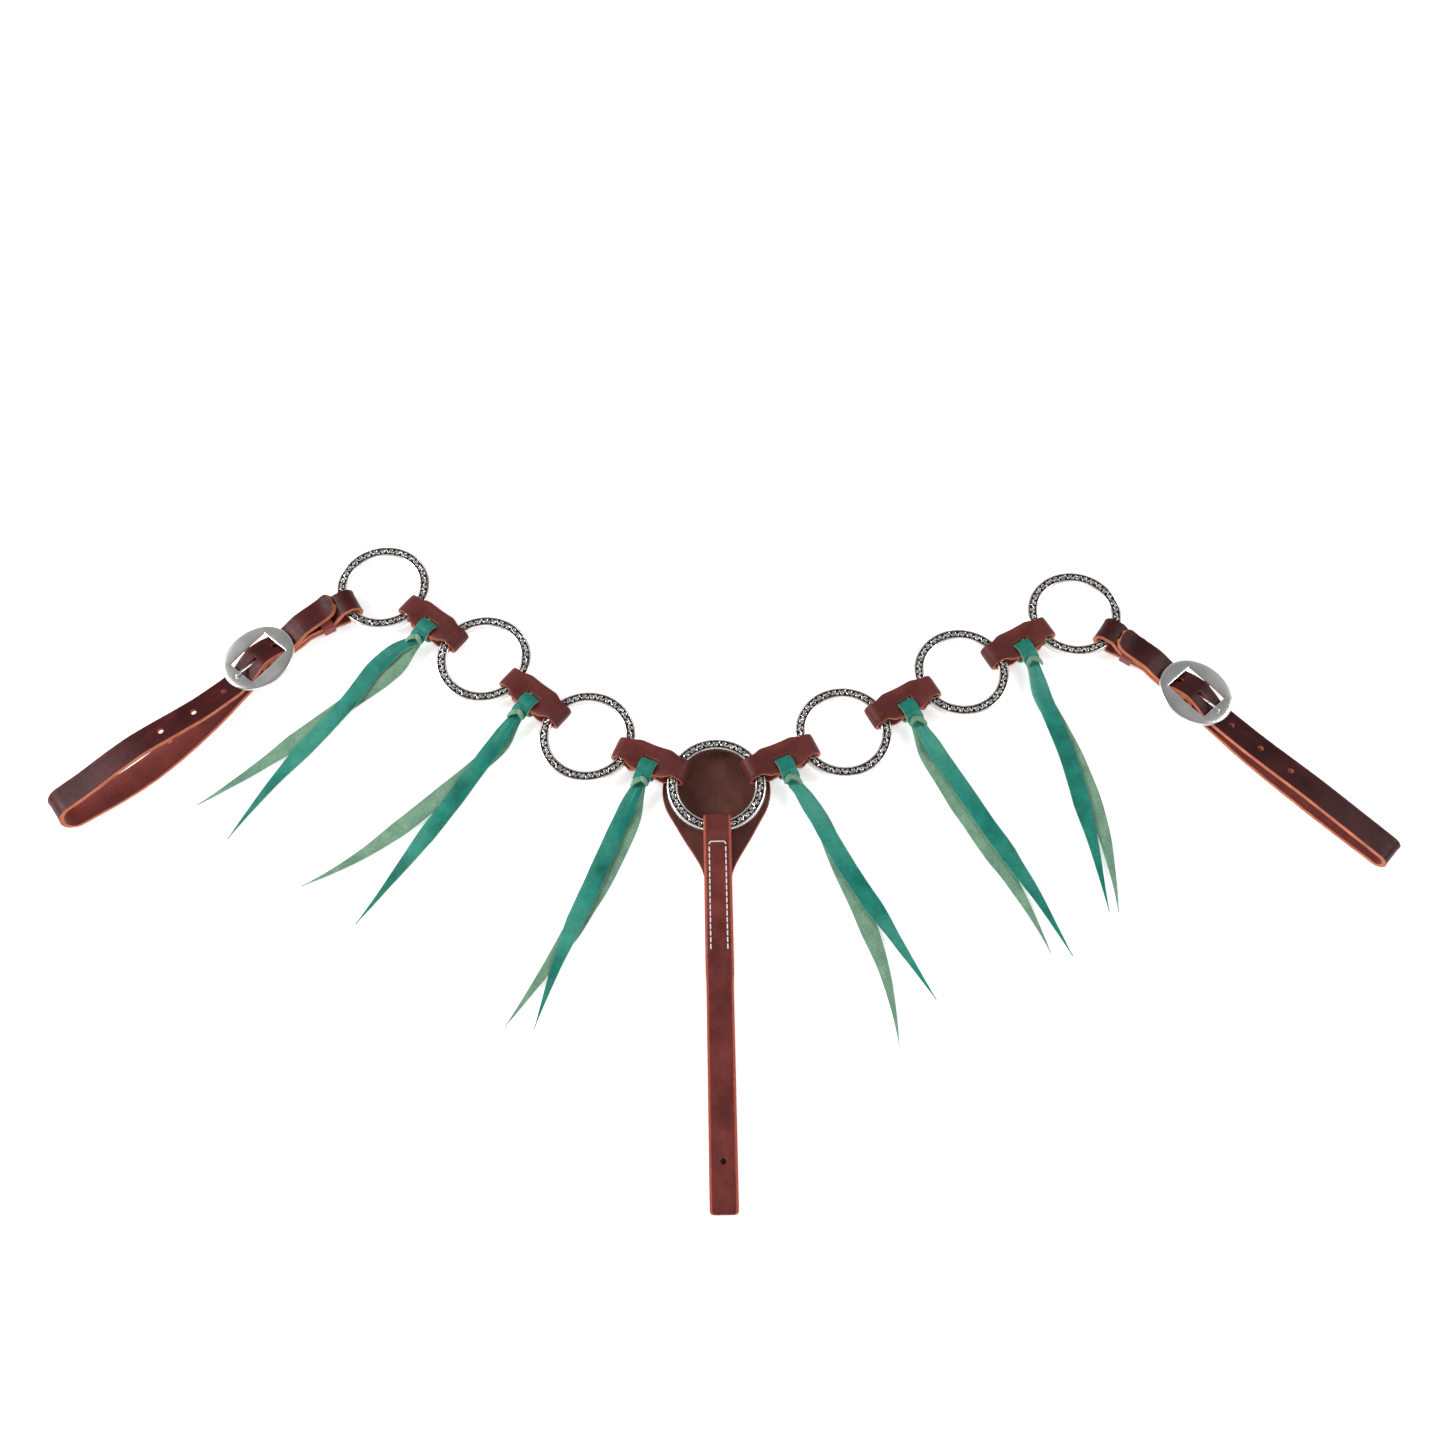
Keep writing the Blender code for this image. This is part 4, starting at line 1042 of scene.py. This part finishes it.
def tug_path(lie, wire_height):
    """The strap's middle: from under the buckle's bar round the ring, out, and back over to its loose end."""
    half = STRAP_LEATHER / 2
    layer = STRAP_LEATHER + GAP
    floor = half
    loop_height = lie["loop_height"]
    bar = BUCKLE_FROM_WIRE
    sewn = floor + layer
    bar_fold = BAR_RADIUS + GAP + half
    over_bar = BAR_HEIGHT + bar_fold
    far_radius = (loop_height - floor) * 0.42
    far_centre = lie["reach"] - half - far_radius
    under_plate = PLATE_UNDERSIDE - GAP - half - 0.0004
    lifted = floor + STACK_LIFT
    keeper_in = KEEPER_FROM_WIRE - 0.0050
    keeper_out = KEEPER_FROM_WIRE + 0.0140
    tucked_end = [(bar - 0.0060, BAR_HEIGHT - bar_fold)]
    bar_turn = arc((bar, BAR_HEIGHT), bar_fold, -90.0, 90.0, 16)
    sewn_layer = smooth_path([
        (bar - 0.0020, over_bar - 0.0002), (bar - 0.0085, over_bar - 0.0032), (bar - 0.0150, sewn + 0.0003),
        (bar - 0.0250, sewn), (keeper_out, lifted + layer), (KEEPER_FROM_WIRE, lifted + layer),
        (keeper_in, lifted + layer + 0.0002), (WRAP_CLEAR, wire_height + WRAP_RADIUS),
    ])
    ring_wrap = arc((-WRAP_SETBACK, wire_height), WRAP_RADIUS, 90.0, 270.0, 20)
    lower_layer = smooth_path([
        (WRAP_CLEAR, wire_height - WRAP_RADIUS), (keeper_in, lifted - 0.0002),
        (KEEPER_FROM_WIRE, lifted), (keeper_out, lifted), (bar - 0.0250, floor),
        (bar + 0.0300, floor), (0.6 * far_centre, floor), (0.9 * far_centre, floor),
    ])
    far_fold = arc((far_centre, floor + far_radius), far_radius, -90.0, 90.0, 20)
    over_keeper = lifted + layer + half + GAP + KEEPER_LEATHER + GAP + half
    billet = smooth_path([
        (far_centre - 0.0150, floor + 2 * far_radius + 0.0008), (0.74 * far_centre, loop_height),
        (bar + 0.0480, under_plate + 0.35 * (loop_height - under_plate)),
        (bar + 0.0270, under_plate), (bar + 0.0170, under_plate), (bar + 0.0085, over_bar + 0.0012),
        (bar, over_bar + layer), (bar - 0.0080, over_bar + 0.0013), (bar - 0.0165, under_plate - 0.0002),
        (bar - 0.0270, under_plate - 0.0003), (keeper_out + 0.0020, over_keeper),
        (KEEPER_FROM_WIRE, over_keeper + 0.0004), (0.0125, over_keeper + 0.0014),
        (0.0070, over_keeper + 0.0030),
    ])
    return tucked_end + bar_turn + sewn_layer + ring_wrap + lower_layer + far_fold + billet


def strap_half_width(path, point_length, tip):
    """Half the strap's width at each path point, its corners rounded off to a share tip of its width."""
    lengths = [0.0]
    for a, b in zip(path, path[1:]):
        lengths.append(lengths[-1] + math.dist(a, b))

    def half_width(index, *_):
        before_end = min(1.0, (lengths[-1] - lengths[index]) / point_length)
        return STRAP_HALF * (tip + (1 - tip) * math.sqrt(1 - (1 - before_end) ** 2))
    return half_width


def with_point_rows(path, point_length, rows=9):
    """The path with more rows near its end, so that the strap's point comes out round."""
    end = Vector(path[-1])
    kept = list(path[:-1])
    while kept and (Vector(kept[-1]) - end).length < point_length:
        kept.pop()
    back = Vector(kept[-1]) - end
    reach = back.length
    extra = []
    for row in range(rows):
        share = min(1.0, point_length / reach) * (1 - row / rows) ** 1.6
        extra.append(tuple(end + back * share))
    return kept + extra + [tuple(end)]


def stitch_row(cage, points, radius=0.00042, pitch=0.0040, length=0.0030):
    """Short stitches along a line of points, each dipping into the leather at its ends."""
    travelled, stations = 0.0, [(0.0, points[0])]
    for a, b in zip(points, points[1:]):
        travelled += (b - a).length
        stations.append((travelled, b))

    def at(distance):
        for (d0, p0), (d1, p1) in zip(stations, stations[1:]):
            if distance <= d1:
                return p0.lerp(p1, (distance - d0) / max(1e-9, d1 - d0))
        return stations[-1][1]

    count = int(travelled / pitch)
    for number in range(count):
        begin = number * pitch
        line, radii = [], []
        for share in (0.0, 0.12, 0.35, 0.65, 0.88, 1.0):
            dip = -0.00050 if share in (0.0, 1.0) else (0.0 if share in (0.12, 0.88) else 0.00012)
            line.append(at(begin + share * length) + Vector((0.0, 0.0, dip)))
            radii.append(radius * (0.75 if share in (0.0, 1.0) else 1.0))
        tube(cage, line, radii, 8)


def make_tug_strap(side, place, wire_height, finish):
    """The folded strap, with its slit round the tongue and its punched holes."""
    name = f"{side}_tug_strap"
    body = f"{side}_tug"
    lie = TUGS[side]
    bent, frame_at = tug_bend(lie)
    point_length = 0.0062
    path = with_point_rows(tug_path(lie, wire_height), point_length)
    rows = path_rows(path, strap_half_width(path, point_length, 0.45), 9, -0.00035)
    farthest = max(range(len(path)), key=lambda index: path[index][0])
    rows = [[bent(*point, index > farthest) for point in row] for index, row in enumerate(rows)]
    rows = above_floor(rows, STRAP_LEATHER / 2)
    fold_top = BAR_HEIGHT + BAR_RADIUS + GAP + STRAP_LEATHER + GAP / 2
    slit_half = TONGUE_RADIUS + 0.0006
    at_bar = frame_at(BUCKLE_FROM_WIRE)
    cutters = [
        cutter_box((-0.0055, -slit_half, STRAP_LEATHER + 0.0002), (0.0062, slit_half, fold_top), 0.0010,
                   finish[1]),
        cutter_box((0.0010, -slit_half - 0.0002, fold_top - 0.0040),
                   (0.0126, slit_half + 0.0002, fold_top + 0.0060), 0.0016, finish[1]),
    ]
    for cutter in cutters:
        cutter.data.transform(at_bar)
    for number in (-1, 1, 2, 3):
        along = BUCKLE_FROM_WIRE + TONGUE_HOLE_FROM_BAR + HOLE_PITCH * number
        along += 0.0025 if number < 0 else 0.0
        middle = bent(along, 0.0, billet_height(path, along))
        low = 0.0048 if number > 0 else PLATE_UNDERSIDE - 0.0040
        above, below = Vector((middle.x, middle.y, 0.030)), Vector((middle.x, middle.y, low))
        cutters.append(cutter_rod(HOLE_RADIUS, below, above, finish[2]))
    mesh = leather_mesh(name, rows, STRAP_LEATHER, finish, False, False, 0.0005, cutters)
    add_piece(name + "_leather", mesh, place, body, name)


def make_tug_stitches(side, place, finish):
    """Two rows of thread through the two sewn layers, between the keeper and the buckle."""
    cage = bmesh.new()
    bent, _ = tug_bend(TUGS[side])
    top = STACK_LIFT + 2 * STRAP_LEATHER + GAP
    for across in (-0.0068, 0.0068):
        line = []
        for step in range(9):
            t = step / 8
            along = 0.0340 + 0.0200 * t
            fall = STACK_LIFT * ease((along - 0.0325) / 0.0160)
            on_strap = bent(along, across, 0.0)
            line.append(Vector((on_strap.x, on_strap.y, top - fall + 0.00015)))
        stitch_row(cage, line)
    mesh = finished(cage, f"{side}_tug_thread", finish)
    add_piece(f"{side}_tug_thread", mesh, place, f"{side}_tug")


def make_keeper(side, place, finish):
    """A band of leather round the sewn layers, its corners rounded by the fold."""
    name = f"{side}_keeper"
    half_leather = KEEPER_LEATHER / 2
    half = STRAP_HALF + 0.0004 + half_leather
    low = STACK_LIFT - GAP - half_leather
    high = STACK_LIFT + 2 * STRAP_LEATHER + 2 * GAP + half_leather
    corner = 0.0016
    outline = arc((half - corner, low + corner), corner, -90.0, 0.0, 5)
    outline += arc((half - corner, high - corner), corner, 0.0, 90.0, 5)
    outline += arc((-half + corner, high - corner), corner, 90.0, 180.0, 5)
    outline += arc((-half + corner, low + corner), corner, 180.0, 270.0, 5)
    rows = [[Vector((share * KEEPER_WIDTH / 2, y, z)) for share in (-1, -0.8, 0, 0.8, 1)] for y, z in outline]
    mesh = leather_mesh(name, rows, KEEPER_LEATHER, finish, False, True, 0.0004)
    add_piece(name + "_band", mesh, place, name, name)


def plate_ray(angle):
    """Where a ray from the plate's middle meets the window and the oval."""
    c, s = math.cos(angle), math.sin(angle)
    window = min(WINDOW_HALF_LENGTH / max(1e-9, abs(c)), WINDOW_HALF_WIDTH / max(1e-9, abs(s)))
    oval = 1.0 / math.hypot(c / PLATE_HALF_LENGTH, s / PLATE_HALF_WIDTH)
    return Vector((c, s, 0.0)), window, oval


def make_buckle(side, place, finish):
    """The cast plate: domed top, rounded rims, a notch for the tongue, and the hidden bar on two lugs."""
    name = f"{side}_buckle"
    corner = math.atan2(WINDOW_HALF_WIDTH, WINDOW_HALF_LENGTH)
    quarters = [-corner, corner, math.pi - corner, math.pi + corner, 2 * math.pi - corner]
    angles = []
    for start, end in zip(quarters, quarters[1:]):
        steps = 28
        angles += [start + (end - start) * step / steps for step in range(steps)]
    profile = [
        (0.07, 0.10), (0.02, 0.45), (0.0, 0.76), (0.006, 0.90), (0.025, 0.96), (0.08, 0.99), (0.28, 1.0),
        (0.50, 1.0), (0.74, 0.97), (0.90, 0.89), (0.965, 0.76), (0.99, 0.56), (1.0, 0.36), (0.985, 0.14),
        (0.93, 0.0), (0.50, 0.0), (0.12, 0.0),
    ]
    cage = bmesh.new()
    lines = []
    for angle in angles:
        ray, window, oval = plate_ray(angle)
        line = []
        for share, level in profile:
            spot = ray * (window + (oval - window) * share)
            notch = 0.0
            if spot.x > 0 and level > 0.6:
                fade = 1 - ease((spot.x - WINDOW_HALF_LENGTH) / 0.006)
                notch = 0.0007 * math.exp(-(spot.y / 0.0016) ** 2) * fade
            spot.z = PLATE_UNDERSIDE + PLATE_THICKNESS * level - notch
            line.append(cage.verts.new(spot))
        lines.append(line)
    close_band(cage, lines)
    lug_middle = STRAP_HALF + 0.0028
    for hand in (-1, 1):
        size = (0.0056, 0.0030, PLATE_UNDERSIDE + 0.0003 - BAR_HEIGHT + 0.0021)
        middle = Vector((0.0, hand * lug_middle, BAR_HEIGHT - 0.0021 + size[2] / 2))
        shape = Matrix.Translation(middle) @ Matrix.Diagonal((*size, 1.0))
        made = bmesh.ops.create_cube(cage, size=1.0, matrix=shape)
        edges = list({edge for vert in made["verts"] for edge in vert.link_edges})
        bmesh.ops.bevel(cage, geom=edges, offset=0.0005, segments=2, affect="EDGES", profile=0.5)
    tube(cage, [Vector((0.0, -lug_middle, BAR_HEIGHT)), Vector((0.0, 0.0, BAR_HEIGHT)),
                Vector((0.0, lug_middle, BAR_HEIGHT))], [BAR_RADIUS] * 3, 18)
    add_piece(name + "_plate", finished(cage, name, finish), place, f"{side}_tug", name)


def make_tongue(side, place, finish):
    """Round wire hooked on the bar, drawn finer and flattened at its tip."""
    name = f"{side}_buckle_tongue"
    eye = arc((0.0, 0.0), BAR_RADIUS + GAP + TONGUE_RADIUS, 372.0, 75.0, 26)
    rest = PLATE_UNDERSIDE + PLATE_THICKNESS + TONGUE_RADIUS + GAP - BAR_HEIGHT
    shank = smooth_path([
        eye[-1], (0.0045, 0.46 * rest + 0.0008), (0.0085, 0.60 * rest + 0.0008), (0.0130, 0.84 * rest),
        (0.0165, rest - 0.0003), (0.0190, rest - 0.0001), (0.0208, rest - 0.0001)], 5)[1:]
    shank += [(0.0214, rest - 0.0001), (0.0217, rest - 0.0001)]
    points = [Vector((along, 0.0, up)) for along, up in eye + shank]
    radii = [TONGUE_RADIUS] * len(points)
    radii[-4:] = [TONGUE_RADIUS * share for share in (0.98, 0.90, 0.70, 0.35)]
    cage = bmesh.new()
    tube(cage, points, radii, 14)
    pivot = place @ Matrix.Translation((0.0, 0.0, BAR_HEIGHT))
    add_piece(name + "_wire", finished(cage, name, finish), pivot, name, name)


# ---------------------------------------------------------------- centre

WRAP_END = 28                    # the path's point where the wrap round the ring ends


def centre_strap_path():
    """The cinch strap's middle, from the end of its sewn back layer round the ring to its far point."""
    height = centre_of("centre_ring").z
    half = STRAP_LEATHER / 2
    back = height - WRAP_RADIUS
    front = back + STRAP_LEATHER + GAP
    behind = [(SEWN_LENGTH, back), (0.6 * SEWN_LENGTH, back), (0.3 * SEWN_LENGTH, back), (0.01, back)]
    wrap = arc((-WRAP_SETBACK, height), WRAP_RADIUS, 270.0, 90.0, 24)
    ahead = smooth_path([
        (WRAP_CLEAR, height + WRAP_RADIUS), (0.0150, front + 0.0015), (0.0260, front),
        (0.60 * SEWN_LENGTH, front), (SEWN_LENGTH, front), (SEWN_LENGTH + 0.0100, front - 0.0024),
        (SEWN_LENGTH + 0.0230, half), (0.62 * STRAP_LENGTH, half),
        (0.9 * STRAP_LENGTH, half), (STRAP_LENGTH, half),
    ], 9)
    return behind + wrap + ahead


def make_centre_strap(place, finish):
    """The cinch strap, folded round the ring, with one blind hole near its end whose dark flesh-finished
    floor is painted shade.
    """
    point_length = 0.0025
    path = with_point_rows(centre_strap_path(), point_length)
    rows = path_rows(path, strap_half_width(path, point_length, 0.72), 13, -0.0007)
    rows = above_floor(rows, STRAP_LEATHER / 2)
    along = STRAP_LENGTH - END_HOLE_FROM_TIP
    # The hole stops just above the underside, so its floor and walls in the dark flesh finish are painted
    # shade where a through hole would show the table.
    hole = cutter_rod(HOLE_RADIUS, (along, 0.0, 0.0004), (along, 0.0, 0.010), finish[1])
    mesh = leather_mesh("centre_strap", rows, STRAP_LEATHER, finish, True, False, 0.0006, (hole,))
    add_piece("centre_strap_leather", mesh, place, "centre_strap", "centre_strap")


def make_centre_stitches(place, finish):
    """A U of white thread: across below the ring, then down both sides of the sewn length."""
    path = smooth_path(centre_strap_path()[WRAP_END:], 1)
    half = STRAP_LEATHER / 2 + 0.00015

    def on_top(along, across):
        for (x0, z0), (x1, z1) in zip(path, path[1:]):
            if x0 <= along <= x1:
                return Vector((along, across, z0 + (z1 - z0) * (along - x0) / max(1e-9, x1 - x0) + half))
        return Vector((along, across, path[-1][1] + half))

    start, end, side, turn = 0.0112, 0.0885, 0.0057, 0.0016
    cage = bmesh.new()
    bar = [on_top(start, -side + turn + (2 * (side - turn)) * step / 6) for step in range(7)]
    corner_a = [on_top(start + turn * (1 - math.sin(a)), -(side - turn + turn * math.cos(a)))
                for a in (0.0, 0.5, 1.0, 1.4)]
    corner_b = [Vector((p.x, -p.y, p.z)) for p in corner_a]
    top = corner_a + bar + corner_b[::-1]
    top = [p + Vector((0, 0, 0.00010)) for p in top]
    tube(cage, top, [0.00045] * len(top), 8)
    for hand in (-1, 1):
        steps = 60
        first = start + 0.0030
        line = [on_top(first + (end - first) * step / steps, hand * side) for step in range(steps + 1)]
        stitch_row(cage, line, 0.00046, 0.0046, 0.0035)
    add_piece("centre_thread", finished(cage, "centre_thread", finish), place, "centre_strap")


def backing_outline():
    """The teardrop's edge, as points in the strap's frame."""
    disc = []
    for step in range(61):
        angle = math.radians(60.0 + 240.0 * step / 60)
        disc.append((BACKING_RADIUS * math.cos(angle) - WIRE_RADIUS, BACKING_RADIUS * math.sin(angle)))
    tail = STRAP_HALF - 0.0004
    lower = smooth_path([
        disc[-1], (-0.0040, -0.0288), (0.0050, -0.0239), (0.0115, -0.0200), (0.0190, -0.0155),
        (0.0262, -0.0118), (0.0340, -0.0095), (0.0440, -tail), (SEWN_LENGTH, -tail)], 6)[1:]
    upper = [(x, -y) for x, y in reversed(lower)]
    end = [(SEWN_LENGTH, y * tail) for y in (-0.5, 0.0, 0.5)]
    return disc + lower + end + upper


def rosette(spot):
    """Depth of a plain pressed rosette: eight petals in a beaded circle."""
    radius = spot.length * 1000
    angle = math.atan2(spot.y, spot.x)
    petal = 8.2 * (0.45 + 0.55 * abs(math.cos(4 * angle)))
    line = math.exp(-((radius - petal) / 0.75) ** 2)
    eye = math.exp(-((radius - 2.2) / 0.6) ** 2)
    border = math.exp(-((radius - 12.5) / 0.5) ** 2) * (0.55 + 0.45 * math.cos(40 * angle))
    return 0.00030 * max(line, eye, 0.8 * border)


def make_backing(place, finish):
    """The leather behind the ring: a closed sheet with rounded edges and a pressed rosette."""
    centre = Vector((-WIRE_RADIUS, 0.0, 0.0))
    outline = [Vector((x, y, 0.0)) for x, y in backing_outline()]
    outline = [a.lerp(b, share) for a, b in zip(outline, outline[1:] + outline[:1]) for share in (0.0, 0.5)]
    inset = 0.0007
    shares = [k / 34 for k in range(1, 34)] + [0.985]
    cage = bmesh.new()
    across = cage.verts.layers.float.new("across")
    top_centre = cage.verts.new(centre + Vector((0, 0, BACKING_LEATHER)))
    low_centre = cage.verts.new(centre)
    rings = []
    for share in shares:
        ring = []
        for point in outline:
            spot = centre + (point - centre) * share
            dip = rosette(Vector((spot.x - centre.x, spot.y)))
            vert = cage.verts.new(spot + Vector((0, 0, BACKING_LEATHER - dip)))
            vert[across] = share ** 6
            ring.append(vert)
        rings.append(ring)
    for drop, pull in ((inset * 0.35, inset * 0.52), (inset, 0.0), (BACKING_LEATHER - inset, 0.0),
                       (BACKING_LEATHER, inset * 0.6)):
        ring = []
        for point in outline:
            inward = (centre - point).normalized()
            vert = cage.verts.new(point + inward * pull + Vector((0, 0, BACKING_LEATHER - drop)))
            vert[across] = 1.0
            ring.append(vert)
        rings.append(ring)
    count = len(outline)
    for k in range(count):
        following = (k + 1) % count
        cage.faces.new((top_centre, rings[0][k], rings[0][following]))
        low = cage.faces.new((low_centre, rings[-1][following], rings[-1][k]))
        low.material_index = 1
    for level, (first, second) in enumerate(zip(rings, rings[1:])):
        for k in range(count):
            following = (k + 1) % count
            face = cage.faces.new((first[k], second[k], second[following], first[following]))
            face.material_index = 2 if level >= len(shares) - 1 else 0
    mesh = finished(cage, "ring_backing", *finish)
    add_piece("ring_backing_leather", mesh, place, "centre_strap", "ring_backing")


# ---------------------------------------------------------------- assembly

def make_side(side, finishes):
    """One side's links and fringes, then its tug strap with the buckle."""
    below = 1 if side == "left" else -1
    inner = "centre_ring"
    for number in (1, 2, 3):
        outer = f"{side}_ring_{number}"
        place = link_frame(inner, outer)
        make_link(f"{side}_link_{number}", place, below, finishes["link"])
        make_tassel(side, number, place, below, finishes["teal"])
        inner = outer
    ring = centre_of(inner)
    place = tug_frame(ring, TUGS[side])
    _, frame_at = tug_bend(TUGS[side])
    at_buckle = place @ frame_at(BUCKLE_FROM_WIRE)
    make_tug_strap(side, place, ring.z, finishes[side])
    make_tug_stitches(side, place, finishes["thread"])
    make_keeper(side, place @ frame_at(KEEPER_FROM_WIRE), finishes[side])
    make_buckle(side, at_buckle, finishes["steel"])
    make_tongue(side, at_buckle, finishes["steel"])


def make_centre(finishes):
    """The strap that runs down from the centre ring, its thread and the backing."""
    joint = next(j for j in frame["record"]["behaviour"]["joints"] if j["name"] == "centre_strap_swing")
    foot = Vector(joint["pos_m"])
    out = (foot - centre_of("centre_ring")).to_2d().to_3d()
    place = frame_from(Vector((foot.x, foot.y, 0.0)), out)
    make_centre_strap(place, finishes["centre"])
    make_centre_stitches(place, finishes["thread"])
    make_backing(place, finishes["backing"])


make_camera()
make_studio()
FINISHES = make_finishes()
make_rings(FINISHES["silver"])
make_centre(FINISHES)
make_side("left", FINISHES)
make_side("right", FINISHES)
